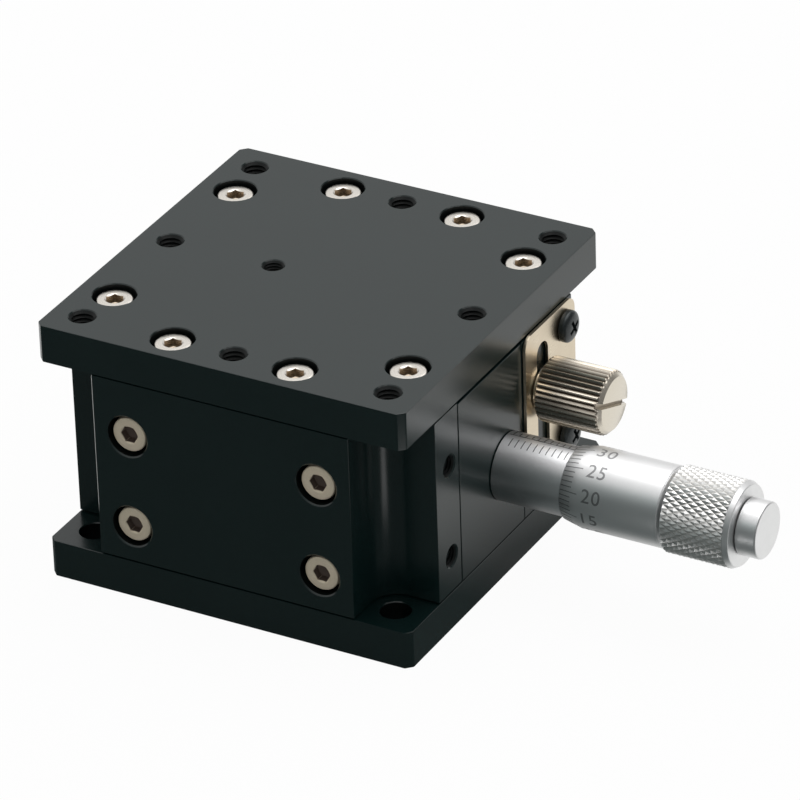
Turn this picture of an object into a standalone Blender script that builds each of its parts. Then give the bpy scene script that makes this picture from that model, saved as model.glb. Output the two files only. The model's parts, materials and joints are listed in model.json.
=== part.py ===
# A lifting stage: a micrometer pushes a wedge, and the wedge lifts a table that runs on crossed rollers.
# Metres, +Z up. The origin is the centre of the base plate's underside, and +X points to the micrometer.

import math

import bmesh
import bpy
from mathutils import Matrix, Vector

# Clearances
SEAM = 0.00015
RUNNING_GAP = 0.0002
THREAD_GAP = 0.00015

# Plates and overall size
PLATE_WIDTH = 0.060
STAGE_HEIGHT = 0.042
TABLE_THICKNESS = 0.006
BASE_THICKNESS = 0.006
CORNER_CHAMFER = 0.001
EDGE_CHAMFER = 0.00035
TRAVEL = 0.005

# Mounting holes
MOUNT_INSET = 0.005
TABLE_TAP_RADIUS = 0.0020
BASE_HOLE_RADIUS = 0.0023

# Side blocks of the table
NOTCH_SIZE = 0.009
NOTCH_FILLET = 0.004
POCKET_SHARE = 0.375
SIDE_SCREW_INSET = 0.0059
WALL_SCREW_SPACING = 0.020

# Fixed core
CORE_WIDTH = 0.028
CORE_HEADROOM = 0.0005
CHANNEL_WIDTH = 0.0106
RIGHT_WALL = 0.010
LEFT_WALL = 0.004
TONGUE_WIDTH = 0.0112
BASE_SCREW_INSET = 0.010

# Crossed roller guides
RAIL_WIDTH = 0.0056
RAIL_GAP = 0.0010
RAIL_SCREW_INSET = 0.00245
RAIL_SCREW_SPACING = 0.015
RAIL_HEADROOM = 0.00075
POCKET_CLEARANCE = 0.00025
ROLLER_RADIUS = 0.0009
ROLLER_PITCH = 0.00235
ROLLER_COUNT = 8
CAGE_SIDE_GAP = 0.0006
CAGE_THICKNESS = 0.0005
CAGE_LENGTH = 0.020
PRELOAD_SCREW_RECESS = 0.0011

# Screws
M3_RADIUS = 0.0015
M3_HEAD_RADIUS = 0.00275
M3_HEAD_HEIGHT = 0.0030
M3_SOCKET_RADIUS = 0.00144
M3_COUNTERBORE_RADIUS = 0.00325
TOP_COUNTERBORE_DEPTH = 0.0038
BASE_COUNTERBORE_DEPTH = 0.0034
TOP_SCREW_LENGTH = 0.008
FRONT_SCREW_REACH = 0.0038
BASE_SCREW_LENGTH = 0.008
BRACKET_SCREW_LENGTH = 0.006
M25_RADIUS = 0.00125
M25_HEAD_RADIUS = 0.00225
M25_HEAD_HEIGHT = 0.0025
M25_SOCKET_RADIUS = 0.00115
M25_COUNTERBORE_DEPTH = 0.0029
RAIL_SCREW_LENGTH = 0.010
SOCKET_DEPTH = 0.0013
SET_SCREW_SOCKET_RADIUS = 0.00086
LOCK_SCREW_LENGTH = 0.006
PAN_HEAD_RADIUS = 0.00245
PAN_HEAD_HEIGHT = 0.0015
PAN_RIM_HEIGHT = 0.0006
PAN_SHOULDER_HEIGHT = 0.0012
PAN_SHOULDER_RADIUS = 0.0020
PAN_CROWN_RADIUS = 0.0013
PAN_SHANK_RADIUS = 0.00125
PAN_SCREW_LENGTH = 0.0040
RECESS_SPAN = 0.0027
RECESS_WIDTH = 0.0007
RECESS_DEPTH = 0.0010

# Micrometer
SPINDLE_HEIGHT = 0.018
SPINDLE_RADIUS = 0.0024
SPINDLE_GAP = 0.0003
STEM_RADIUS = 0.0040
SLEEVE_RADIUS = 0.0052
THIMBLE_START = 0.0113
THIMBLE_EDGE_WALL = 0.00015
SCALE_LENGTH = 0.0028
THIMBLE_RADIUS = 0.0061
THIMBLE_BARREL = 0.0130
GRIP_STEP = 0.0008
GRIP_RADIUS = 0.0065
GRIP_LENGTH = 0.00975
GRIP_BEVEL = 0.00085
GRIP_END_RADIUS = 0.00605
THIMBLE_WALL = 0.0040
CAP_RADIUS = 0.00425
CAP_LENGTH = 0.00325
CAP_CHAMFER = 0.0003
CAP_SPIGOT_LENGTH = 0.0020
STOP_CLEARANCE = 0.0005

# Wedge drive
RAMP_SLOPE = 0.5
RAMP_HEIGHT = 0.01425
WEDGE_TAIL = 0.008
WEDGE_HEAD = 0.015
WEDGE_WIDTH = 0.0100
WEDGE_LIFT = 0.0004
TRACK_WIDTH = 0.0040
TRACK_HEIGHT = 0.0025
TRACK_END_GAP = 0.0005
TRACK_SIDE_GAP = 0.00025
TRACK_SCREW_INSET = 0.0030
TRACK_SCREW_RADIUS = 0.0010
TRACK_SCREW_HEAD = 0.0016
TRACK_SCREW_LENGTH = 0.0050
FOLLOWER_RADIUS = 0.0035
FOLLOWER_WIDTH = 0.0052
FOLLOWER_GAP = 0.0003
AXLE_RADIUS = 0.0015
AXLE_LENGTH = 0.0094
BRACKET_LENGTH = 0.020
BRACKET_WIDTH = 0.0098
BRACKET_FLANGE = 0.0038
BRACKET_CHEEK = 0.0020
BRACKET_END_RADIUS = 0.0026
BRACKET_SCREW_SPACING = 0.0154

# Return springs
SPRING_RADIUS = 0.00205
SPRING_WIRE_RADIUS = 0.00025
SPRING_COILS = 9
SPRING_BORE_RADIUS = 0.0027
STUD_RADIUS = 0.0015
STUD_LENGTH = 0.0050
STUD_TAIL_RADIUS = 0.0010
STUD_TAIL_LENGTH = 0.0025

# Clamp
CLAMP_PLATE_WIDTH = 0.0154
CLAMP_PLATE_HEIGHT = 0.0254
CLAMP_PLATE_THICKNESS = 0.00045
CLAMP_CORNER_RADIUS = 0.0020
SLOT_INSET = 0.00517
SLOT_WIDTH = 0.0035
SLOT_LENGTH = 0.0198
PAN_SCREW_SIDE_INSET = 0.0032
PAN_SCREW_TOP_INSET = 0.0036
PAN_SCREW_BOTTOM_INSET = 0.0037
KNOB_SHANK_RADIUS = 0.0015
KNOB_SHANK_LENGTH = 0.0101
KNOB_COLLAR_RADIUS = 0.0035
KNOB_COLLAR_LENGTH = 0.0004
KNOB_RADIUS = 0.0049
KNOB_ROOT_BEVEL = 0.0007
KNOB_GRIP_LENGTH = 0.00952
KNOB_END_BEVEL = 0.00085
KNOB_END_RADIUS = 0.00405
KNOB_SLOT_WIDTH = 0.0012
KNOB_SLOT_DEPTH = 0.0015
KNOB_SLOT_TURN = math.radians(-21)

# Levels and faces that several pieces share
HALF = PLATE_WIDTH / 2
TABLE_UNDERSIDE = STAGE_HEIGHT - TABLE_THICKNESS
CORE_HALF = CORE_WIDTH / 2
CHANNEL_HALF = CHANNEL_WIDTH / 2
CORE_BOTTOM = BASE_THICKNESS + SEAM
CORE_TOP = TABLE_UNDERSIDE - CORE_HEADROOM
BLOCK_BOTTOM = BASE_THICKNESS + RUNNING_GAP
BLOCK_TOP = TABLE_UNDERSIDE - SEAM
BLOCK_INNER = CORE_HALF + RUNNING_GAP
POCKET_FRONT = CORE_HALF + (HALF - CORE_HALF) * POCKET_SHARE
NOTCH_LINE = HALF - NOTCH_SIZE
MOUNT_LINE = HALF - MOUNT_INSET
SIDE_SCREW_X = HALF - SIDE_SCREW_INSET
SIDE_SCREW_Y = (CORE_HALF + NOTCH_LINE) / 2
WALL_SCREW_X = WALL_SCREW_SPACING / 2
WALL_SCREW_Y = (HALF + POCKET_FRONT) / 2
FRONT_SCREW_LENGTH = HALF - TOP_COUNTERBORE_DEPTH - POCKET_FRONT + FRONT_SCREW_REACH
M3_HOLE_RADIUS = M3_RADIUS + THREAD_GAP
M25_HOLE_RADIUS = M25_RADIUS + THREAD_GAP
WEB_MIDDLE = (CORE_HALF + CHANNEL_HALF) / 2

RAIL_PLANE = (CORE_HALF + POCKET_FRONT) / 2
CAGE_WIDTH = POCKET_FRONT - CORE_HALF - 2 * CAGE_SIDE_GAP
GROOVE_DEPTH = (ROLLER_RADIUS + RUNNING_GAP) * math.sqrt(2) - RAIL_GAP / 2
INNER_RAIL_BACK = TONGUE_WIDTH / 2 + SEAM
INNER_RAIL_FACE = INNER_RAIL_BACK + RAIL_WIDTH
OUTER_RAIL_FACE = INNER_RAIL_FACE + RAIL_GAP
OUTER_RAIL_BACK = OUTER_RAIL_FACE + RAIL_WIDTH
POCKET_HALF = OUTER_RAIL_BACK + POCKET_CLEARANCE
OUTER_RAIL_BOTTOM = BLOCK_BOTTOM
RAIL_LENGTH = TABLE_UNDERSIDE - RAIL_HEADROOM - OUTER_RAIL_BOTTOM - TRAVEL / 2
OUTER_RAIL_MIDDLE = OUTER_RAIL_BOTTOM + RAIL_LENGTH / 2
INNER_RAIL_MIDDLE = OUTER_RAIL_MIDDLE + TRAVEL / 2
OUTER_RAIL_SCREW_X = OUTER_RAIL_BACK - RAIL_SCREW_INSET
INNER_RAIL_SCREW_X = INNER_RAIL_BACK + RAIL_SCREW_INSET
CAGE_X = INNER_RAIL_FACE + RAIL_GAP / 2
CAGE_MIDDLE = (OUTER_RAIL_MIDDLE + INNER_RAIL_MIDDLE) / 2

RAMP_COSINE = 1 / math.sqrt(1 + RAMP_SLOPE ** 2)
AXLE_HEIGHT = RAMP_HEIGHT + (FOLLOWER_RADIUS + FOLLOWER_GAP) / RAMP_COSINE
SPINDLE_TRAVEL = TRAVEL / RAMP_SLOPE
CORE_RIGHT = HALF - RIGHT_WALL
CORE_LEFT = LEFT_WALL - HALF
TRACK_LEFT = CORE_LEFT + TRACK_END_GAP
TRACK_RIGHT = CORE_RIGHT - TRACK_END_GAP

THIMBLE_FRONT = HALF + THIMBLE_START
SCALE_END = THIMBLE_FRONT + SCALE_LENGTH
BARREL_END = SCALE_END + THIMBLE_BARREL
GRIP_START = BARREL_END + GRIP_STEP
GRIP_END = GRIP_START + GRIP_LENGTH
THIMBLE_END = GRIP_END + GRIP_BEVEL
THIMBLE_FLOOR = THIMBLE_END - THIMBLE_WALL
SLEEVE_END = THIMBLE_FLOOR - SPINDLE_TRAVEL - STOP_CLEARANCE
THIMBLE_BORE_RADIUS = SLEEVE_RADIUS + SEAM
SPINDLE_HOLE_RADIUS = SPINDLE_RADIUS + SPINDLE_GAP
CAP_START = THIMBLE_END + SEAM
SPINDLE_START = WEDGE_HEAD + SPINDLE_GAP
SPINDLE_END = CAP_START - CAP_SPIGOT_LENGTH - SPINDLE_GAP

CLAMP_PLATE_LEFT = SLEEVE_RADIUS + RUNNING_GAP
CLAMP_PLATE_RIGHT = CLAMP_PLATE_LEFT + CLAMP_PLATE_WIDTH
CLAMP_PLATE_TOP = TABLE_UNDERSIDE
CLAMP_PLATE_BOTTOM = CLAMP_PLATE_TOP - CLAMP_PLATE_HEIGHT
CLAMP_PLATE_BACK = HALF + SEAM
CLAMP_PLATE_FACE = CLAMP_PLATE_BACK + CLAMP_PLATE_THICKNESS
SLOT_Y = CLAMP_PLATE_LEFT + SLOT_INSET
SLOT_MIDDLE = (CLAMP_PLATE_TOP + CLAMP_PLATE_BOTTOM) / 2
KNOB_HEIGHT = SLOT_MIDDLE + TRAVEL / 2
KNOB_SEAT = CLAMP_PLATE_FACE + RUNNING_GAP
KNOB_HOLE_RADIUS = KNOB_SHANK_RADIUS + THREAD_GAP
PAN_SCREW_Y = CLAMP_PLATE_RIGHT - PAN_SCREW_SIDE_INSET
PAN_HOLE_RADIUS = PAN_SHANK_RADIUS + THREAD_GAP
PAN_SCREW_HEIGHTS = (CLAMP_PLATE_TOP - PAN_SCREW_TOP_INSET, CLAMP_PLATE_BOTTOM + PAN_SCREW_BOTTOM_INSET)
PAN_HEAD_SEAT = CLAMP_PLATE_FACE + SEAM

# How finely round pieces are divided
SCREW_SIDES = 12
HOLE_SIDES = 12
ROLLER_SIDES = 8
FOLLOWER_SIDES = 24
KNOB_SIDES = 36
TURNED_SIDES = 36
ARC_STEPS = 4
COIL_STEPS = 10
WIRE_SIDES = 5
SHARP_ANGLE = math.radians(35)
CARRIER_SIZE = 0.005

RIGHT = Vector((1, 0, 0))
FRONT = Vector((0, -1, 0))
BACK = Vector((0, 1, 0))
UP = Vector((0, 0, 1))
DOWN = Vector((0, 0, -1))

# Finish: base colour, roughness, metallic
FINISHES = {
    "black_anodised": ((0.045, 0.050, 0.052), 0.42, 0.35),
    "bright_steel": ((0.62, 0.61, 0.59), 0.26, 1.0),
    "warm_nickel": ((0.55, 0.51, 0.45), 0.30, 1.0),
    "black_steel": ((0.015, 0.015, 0.017), 0.35, 0.6),
    "satin_chrome": ((0.66, 0.66, 0.65), 0.24, 1.0),
    "pale_plate": ((0.66, 0.60, 0.51), 0.28, 1.0),
    "ground_steel": ((0.42, 0.42, 0.43), 0.30, 1.0),
    "brass": ((0.70, 0.52, 0.24), 0.35, 1.0),
}


def clear_scene():
    for item in list(bpy.data.objects):
        bpy.data.objects.remove(item, do_unlink=True)


def make_finish(name):
    colour, roughness, metallic = FINISHES[name]
    finish = bpy.data.materials.new(name)
    finish.use_nodes = True
    shader = finish.node_tree.nodes["Principled BSDF"]
    shader.inputs["Base Color"].default_value = (*colour, 1.0)
    shader.inputs["Roughness"].default_value = roughness
    shader.inputs["Metallic"].default_value = metallic
    finish.diffuse_color = (*colour, 1.0)
    return finish


# Shapes, each a bmesh in world coordinates

def facing_out(shape):
    """The same closed shape with every face turned outwards."""
    shape.normal_update()
    bmesh.ops.recalc_face_normals(shape, faces=shape.faces[:])
    if shape.calc_volume(signed=True) < 0:
        bmesh.ops.reverse_faces(shape, faces=shape.faces[:])
    return shape


def prism(axis, outline, low, high):
    """A closed outline pushed along an axis: (y, z) along X, (x, z) along Y, (x, y) along Z."""
    order = {"X": (2, 0, 1), "Y": (0, 2, 1), "Z": (0, 1, 2)}[axis]
    shape = bmesh.new()
    corners = []
    for first, second in outline:
        values = (first, second, low)
        corners.append(shape.verts.new([values[place] for place in order]))
    face = shape.faces.new(corners)
    pushed = bmesh.ops.extrude_face_region(shape, geom=[face])
    direction = {"X": RIGHT, "Y": BACK, "Z": UP}[axis]
    moved = [item for item in pushed["geom"] if isinstance(item, bmesh.types.BMVert)]
    bmesh.ops.translate(shape, verts=moved, vec=direction * (high - low))
    return facing_out(shape)


def block(low, high):
    outline = [(low[0], low[1]), (high[0], low[1]), (high[0], high[1]), (low[0], high[1])]
    return prism("Z", outline, low[2], high[2])


def turned(place, direction, stations, sides, hollow=False):
    """A profile of (distance, radius) stations turned round a line that starts at a place."""
    shape = bmesh.new()
    points = [shape.verts.new((radius, 0, distance)) for distance, radius in stations]
    edges = [shape.edges.new(pair) for pair in zip(points, points[1:])]
    if hollow:
        edges.append(shape.edges.new((points[-1], points[0])))
    around = points + edges
    bmesh.ops.spin(shape, geom=around, cent=(0, 0, 0), axis=UP, angle=math.tau, steps=sides, use_merge=True)
    open_edges = [edge for edge in shape.edges if edge.is_boundary]
    if open_edges:
        bmesh.ops.holes_fill(shape, edges=open_edges, sides=0)
    shape.transform(Matrix.Translation(place) @ direction.to_track_quat("Z", "Y").to_matrix().to_4x4())
    return facing_out(shape)


def hexagon(place, direction, radius, depth):
    """A six-sided key socket that goes from just outside a place down into the piece."""
    return turned(place, direction, [(-depth, radius), (SEAM, radius)], 6)


def arc(centre, radius, start, end, steps=ARC_STEPS):
    points = []
    for step in range(steps + 1):
        angle = math.radians(start + (end - start) * step / steps)
        points.append((centre[0] + radius * math.cos(angle), centre[1] + radius * math.sin(angle)))
    return points


def mesh_of(shape):
    mesh = bpy.data.meshes.new("shape")
    shape.to_mesh(mesh)
    shape.free()
    return mesh


def combined(body, tools, operation):
    """The mesh of a body after a Boolean with each tool in turn."""
    work = bpy.data.objects.new("work", mesh_of(body))
    bpy.context.scene.collection.objects.link(work)
    helpers = []
    for tool in tools:
        helper = bpy.data.objects.new("helper", mesh_of(tool))
        bpy.context.scene.collection.objects.link(helper)
        helpers.append(helper)
        boolean = work.modifiers.new("boolean", "BOOLEAN")
        boolean.operation = operation
        boolean.solver = "EXACT"
        boolean.object = helper
    depsgraph = bpy.context.evaluated_depsgraph_get()
    mesh = bpy.data.meshes.new_from_object(work.evaluated_get(depsgraph))
    for item in [work, *helpers]:
        bpy.data.objects.remove(item, do_unlink=True)
    result = bmesh.new()
    result.from_mesh(mesh)
    bpy.data.meshes.remove(mesh)
    return result


def cut(body, tools):
    return combined(body, tools, "DIFFERENCE")


def joined(body, tools):
    return combined(body, tools, "UNION")


# Objects and the carriers that stand for moving bodies

def world_place(item):
    place = Vector(item.location)
    while item.parent:
        item = item.parent
        place += item.location
    return place


def add_carrier(name, place, parent=None):
    carrier = bpy.data.objects.new(name, None)
    carrier.empty_display_size = CARRIER_SIZE
    bpy.context.scene.collection.objects.link(carrier)
    carrier.parent = parent
    carrier.location = Vector(place) - (world_place(parent) if parent else Vector())
    return carrier


def finish_mesh(shape, finish):
    mesh = mesh_of(shape)
    mesh.materials.append(finish)
    mesh.shade_smooth()
    mesh.set_sharp_from_angle(angle=SHARP_ANGLE)
    return mesh


def add_part(name, shape, finish, parent, pivot=None):
    """An object whose mesh keeps its world place and whose origin is the pivot."""
    pivot = world_place(parent) if pivot is None else Vector(pivot)
    shape.transform(Matrix.Translation(-pivot))
    part = bpy.data.objects.new(name, finish_mesh(shape, finish))
    bpy.context.scene.collection.objects.link(part)
    part.parent = parent
    part.location = pivot - world_place(parent)
    return part


def add_copy(name, mesh, parent, place, direction):
    """An object that shares a mesh made round its own Z axis and points it along a direction."""
    part = bpy.data.objects.new(name, mesh)
    bpy.context.scene.collection.objects.link(part)
    part.parent = parent
    part.location = Vector(place) - world_place(parent)
    part.rotation_euler = direction.to_track_quat("Z", "Y").to_euler()
    return part


# Screws, made round +Z with the seat under the head at the origin

def socket_screw(radius, head_radius, head_height, socket_radius, length, finish):
    stations = [(-length, radius), (0, radius), (0, head_radius), (head_height, head_radius)]
    body = turned(Vector(), UP, stations, SCREW_SIDES)
    socket = hexagon(Vector((0, 0, head_height)), UP, socket_radius, SOCKET_DEPTH)
    return finish_mesh(cut(body, [socket]), finish)


def m3_screw(length, finish):
    return socket_screw(M3_RADIUS, M3_HEAD_RADIUS, M3_HEAD_HEIGHT, M3_SOCKET_RADIUS, length, finish)


def set_screw(length, finish):
    """A headless screw with its tip at the origin and its socket at the far end."""
    body = turned(Vector(), UP, [(0, M3_RADIUS), (length, M3_RADIUS)], SCREW_SIDES)
    socket = hexagon(Vector((0, 0, length)), UP, SET_SCREW_SOCKET_RADIUS, SOCKET_DEPTH)
    return finish_mesh(cut(body, [socket]), finish)


def pan_screw(finish):
    stations = [
        (-PAN_SCREW_LENGTH, PAN_SHANK_RADIUS),
        (0, PAN_SHANK_RADIUS),
        (0, PAN_HEAD_RADIUS),
        (PAN_RIM_HEIGHT, PAN_HEAD_RADIUS),
        (PAN_SHOULDER_HEIGHT, PAN_SHOULDER_RADIUS),
        (PAN_HEAD_HEIGHT, PAN_CROWN_RADIUS),
    ]
    body = turned(Vector(), UP, stations, HOLE_SIDES)
    long_half = RECESS_SPAN / 2
    short_half = RECESS_WIDTH / 2
    low = PAN_HEAD_HEIGHT - RECESS_DEPTH
    high = PAN_HEAD_HEIGHT + SEAM
    across = block((-long_half, -short_half, low), (long_half, short_half, high))
    along = block((-short_half, -long_half, low), (short_half, long_half, high))
    return finish_mesh(cut(body, [joined(across, [along])]), finish)


def screw_hole(place, direction, counterbore_depth, length):
    """A counterbore from a face at a place, and a hole that ends just past the screw's tip."""
    end = counterbore_depth - SEAM + length + THREAD_GAP
    stations = [
        (SEAM, M3_COUNTERBORE_RADIUS), (-counterbore_depth, M3_COUNTERBORE_RADIUS),
        (-counterbore_depth, M3_HOLE_RADIUS), (-end, M3_HOLE_RADIUS),
    ]
    return turned(Vector(place), direction, stations, HOLE_SIDES)


def plain_hole(place, direction, radius, depth):
    return turned(Vector(place), direction, [(SEAM, radius), (-depth, radius)], HOLE_SIDES)


# Places that holes and screws share

def corners_at(x, y):
    return [(side * x, end * y) for side in (-1, 1) for end in (-1, 1)]


def top_screw_places():
    return corners_at(SIDE_SCREW_X, SIDE_SCREW_Y) + corners_at(WALL_SCREW_X, WALL_SCREW_Y)


def table_tap_places():
    crosses = [(0, MOUNT_LINE), (0, -MOUNT_LINE), (MOUNT_LINE, 0), (-MOUNT_LINE, 0)]
    return corners_at(MOUNT_LINE, MOUNT_LINE) + crosses


def base_screw_places():
    return corners_at(HALF - BASE_SCREW_INSET, WEB_MIDDLE)


def rail_screw_heights(middle):
    return (middle + RAIL_SCREW_SPACING / 2, middle - RAIL_SCREW_SPACING / 2)


def rail_screw_places(x, middle):
    return [(side * x, z) for side in (-1, 1) for z in rail_screw_heights(middle)]


def track_screw_places():
    return (TRACK_LEFT + TRACK_SCREW_INSET, TRACK_RIGHT - TRACK_SCREW_INSET)


# Plates

def plate(low, high):
    edge = HALF - CORNER_CHAMFER
    outline = [
        (-edge, -HALF), (edge, -HALF), (HALF, -edge), (HALF, edge),
        (edge, HALF), (-edge, HALF), (-HALF, edge), (-HALF, -edge),
    ]
    shape = prism("Z", outline, low, high)
    rims = [edge for edge in shape.edges if abs(edge.verts[0].co.z - edge.verts[1].co.z) < SEAM]
    bmesh.ops.bevel(
        shape, geom=rims, offset=EDGE_CHAMFER, offset_type="WIDTH", segments=1, profile=0.5, affect="EDGES"
    )
    return shape


def build_base_plate(finish, parent):
    holes = []
    for x, y in corners_at(MOUNT_LINE, MOUNT_LINE):
        holes.append(plain_hole((x, y, BASE_THICKNESS), UP, BASE_HOLE_RADIUS, BASE_THICKNESS + SEAM))
    for x, y in base_screw_places():
        holes.append(screw_hole((x, y, 0), DOWN, BASE_COUNTERBORE_DEPTH, BASE_SCREW_LENGTH))
    for y in (-WEB_MIDDLE, WEB_MIDDLE):
        depth = STUD_TAIL_LENGTH + THREAD_GAP
        holes.append(plain_hole((0, y, BASE_THICKNESS), UP, STUD_TAIL_RADIUS + THREAD_GAP, depth))
    for x in track_screw_places():
        depth = TRACK_SCREW_LENGTH - TRACK_HEIGHT + THREAD_GAP
        holes.append(plain_hole((x, 0, BASE_THICKNESS), UP, TRACK_SCREW_RADIUS + THREAD_GAP, depth))
    add_part("base_plate", cut(plate(0, BASE_THICKNESS), holes), finish, parent)


def build_top_plate(finish, parent):
    holes = []
    for x, y in table_tap_places():
        holes.append(plain_hole((x, y, STAGE_HEIGHT), UP, TABLE_TAP_RADIUS, TABLE_THICKNESS + SEAM))
    for x, y in top_screw_places():
        holes.append(screw_hole((x, y, STAGE_HEIGHT), UP, TOP_COUNTERBORE_DEPTH, TOP_SCREW_LENGTH))
    bracket_x = BRACKET_SCREW_SPACING / 2
    holes.append(plain_hole((-bracket_x, 0, STAGE_HEIGHT), UP, M3_HOLE_RADIUS, TABLE_THICKNESS + SEAM))
    blind = BRACKET_SCREW_LENGTH - BRACKET_FLANGE + THREAD_GAP
    holes.append(plain_hole((bracket_x, 0, TABLE_UNDERSIDE), DOWN, M3_HOLE_RADIUS, blind))
    for y in (-WEB_MIDDLE, WEB_MIDDLE):
        depth = STUD_TAIL_LENGTH + THREAD_GAP
        holes.append(plain_hole((0, y, TABLE_UNDERSIDE), DOWN, STUD_TAIL_RADIUS + THREAD_GAP, depth))
    add_part("top_plate", cut(plate(TABLE_UNDERSIDE, STAGE_HEIGHT), holes), finish, parent)


# Side blocks of the table

def notched_side(end):
    """The outer outline of a side block from left to right, for the front (-1) or the back (1)."""
    centre = NOTCH_LINE + NOTCH_FILLET
    right = [
        (NOTCH_LINE - EDGE_CHAMFER, HALF),
        (NOTCH_LINE, HALF - EDGE_CHAMFER),
        *arc((centre, centre), NOTCH_FILLET, 180, 270),
        (HALF - EDGE_CHAMFER, NOTCH_LINE),
        (HALF, NOTCH_LINE - EDGE_CHAMFER),
        (HALF, BLOCK_INNER),
    ]
    left = [(-x, y) for x, y in reversed(right)]
    return [(x, y * end) for x, y in left + right]


def top_screw_holes(end):
    holes = []
    for x, y in top_screw_places():
        if y * end > 0:
            tip = STAGE_HEIGHT - TOP_COUNTERBORE_DEPTH + SEAM - TOP_SCREW_LENGTH
            depth = BLOCK_TOP - tip + THREAD_GAP
            holes.append(plain_hole((x, y, BLOCK_TOP), UP, M3_HOLE_RADIUS, depth))
    return holes


def build_front_block(finish, parent):
    pocket = [
        (POCKET_HALF, -BLOCK_INNER), (POCKET_HALF, -POCKET_FRONT),
        (-POCKET_HALF, -POCKET_FRONT), (-POCKET_HALF, -BLOCK_INNER),
    ]
    body = prism("Z", notched_side(-1) + pocket, BLOCK_BOTTOM, BLOCK_TOP)
    holes = top_screw_holes(-1)
    for x, z in rail_screw_places(OUTER_RAIL_SCREW_X, OUTER_RAIL_MIDDLE):
        holes.append(screw_hole((x, -HALF, z), FRONT, TOP_COUNTERBORE_DEPTH, FRONT_SCREW_LENGTH))
    for z in rail_screw_heights(OUTER_RAIL_MIDDLE):
        depth = HALF - POCKET_HALF + SEAM
        holes.append(plain_hole((HALF, -RAIL_PLANE, z), RIGHT, M3_HOLE_RADIUS, depth))
    add_part("front_block", cut(body, holes), finish, parent)


def build_rear_block(finish, parent):
    body = prism("Z", notched_side(1), BLOCK_BOTTOM, BLOCK_TOP)
    holes = top_screw_holes(1)
    for z in PAN_SCREW_HEIGHTS:
        depth = HALF - (PAN_HEAD_SEAT - PAN_SCREW_LENGTH) + THREAD_GAP
        holes.append(plain_hole((HALF, PAN_SCREW_Y, z), RIGHT, PAN_HOLE_RADIUS, depth))
    add_part("rear_block", cut(body, holes), finish, parent)


# Fixed core

def build_centre_block(finish, parent):
    tongue = TONGUE_WIDTH / 2
    tongue_front = POCKET_FRONT - RUNNING_GAP
    seam_face = CHANNEL_HALF - SEAM
    outline = [
        (-HALF, -CORE_HALF), (-tongue, -CORE_HALF), (-tongue, -tongue_front), (tongue, -tongue_front),
        (tongue, -CORE_HALF), (HALF, -CORE_HALF), (HALF, seam_face), (CORE_RIGHT, seam_face),
        (CORE_RIGHT, -CHANNEL_HALF), (CORE_LEFT, -CHANNEL_HALF), (CORE_LEFT, seam_face), (-HALF, seam_face),
    ]
    body = prism("Z", outline, CORE_BOTTOM, CORE_TOP)
    axis = Vector((HALF, 0, SPINDLE_HEIGHT))
    stem_bore = [(SEAM, STEM_RADIUS + SEAM), (-RIGHT_WALL - SEAM, STEM_RADIUS + SEAM)]
    holes = [turned(axis, RIGHT, stem_bore, TURNED_SIDES)]
    lock_depth = CORE_TOP - SPINDLE_HEIGHT
    holes.append(plain_hole((lock_screw_x(), 0, CORE_TOP), UP, M3_HOLE_RADIUS, lock_depth))
    holes.append(spring_bore(-WEB_MIDDLE))
    mouth = M25_HEAD_RADIUS + RUNNING_GAP
    wall = CORE_HALF - CHANNEL_HALF
    stations = [
        (SEAM, mouth), (-M25_COUNTERBORE_DEPTH, mouth),
        (-M25_COUNTERBORE_DEPTH, M25_HOLE_RADIUS), (-wall - SEAM, M25_HOLE_RADIUS),
    ]
    for x, z in rail_screw_places(INNER_RAIL_SCREW_X, INNER_RAIL_MIDDLE):
        holes.append(turned(Vector((x, -CHANNEL_HALF, z)), BACK, stations, HOLE_SIDES))
    holes += base_screw_holes(-1)
    add_part("centre_block", cut(body, holes), finish, parent)


def lock_screw_x():
    return HALF - RIGHT_WALL / 2


def spring_bore(y):
    return plain_hole((0, y, CORE_TOP), UP, SPRING_BORE_RADIUS, CORE_TOP - CORE_BOTTOM + SEAM)


def base_screw_holes(end):
    holes = []
    for x, y in base_screw_places():
        if y * end > 0:
            tip = BASE_COUNTERBORE_DEPTH - SEAM + BASE_SCREW_LENGTH
            depth = tip - CORE_BOTTOM + THREAD_GAP
            holes.append(plain_hole((x, y, CORE_BOTTOM), DOWN, M3_HOLE_RADIUS, depth))
    return holes


def build_clamp_bar(finish, parent):
    body = block((-HALF, CHANNEL_HALF, CORE_BOTTOM), (HALF, CORE_HALF, CORE_TOP))
    holes = base_screw_holes(1)
    holes.append(spring_bore(WEB_MIDDLE))
    depth = HALF - KNOB_SEAT + KNOB_SHANK_LENGTH + SEAM
    holes.append(plain_hole((HALF, SLOT_Y, KNOB_HEIGHT), RIGHT, KNOB_HOLE_RADIUS, depth))
    add_part("clamp_bar", cut(body, holes), finish, parent)


# Crossed roller guides

def rail(side, back, face, rear_y, front_y, middle):
    """A guide rail with a V groove along its face, on the left (-1) or right (1) of the stage."""
    inward = math.copysign(GROOVE_DEPTH, back - face)
    outline = [
        (back, rear_y), (face, rear_y), (face, -RAIL_PLANE + GROOVE_DEPTH), (face + inward, -RAIL_PLANE),
        (face, -RAIL_PLANE - GROOVE_DEPTH), (face, front_y), (back, front_y),
    ]
    outline = [(x * side, y) for x, y in outline]
    return prism("Z", outline, middle - RAIL_LENGTH / 2, middle + RAIL_LENGTH / 2)


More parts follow.
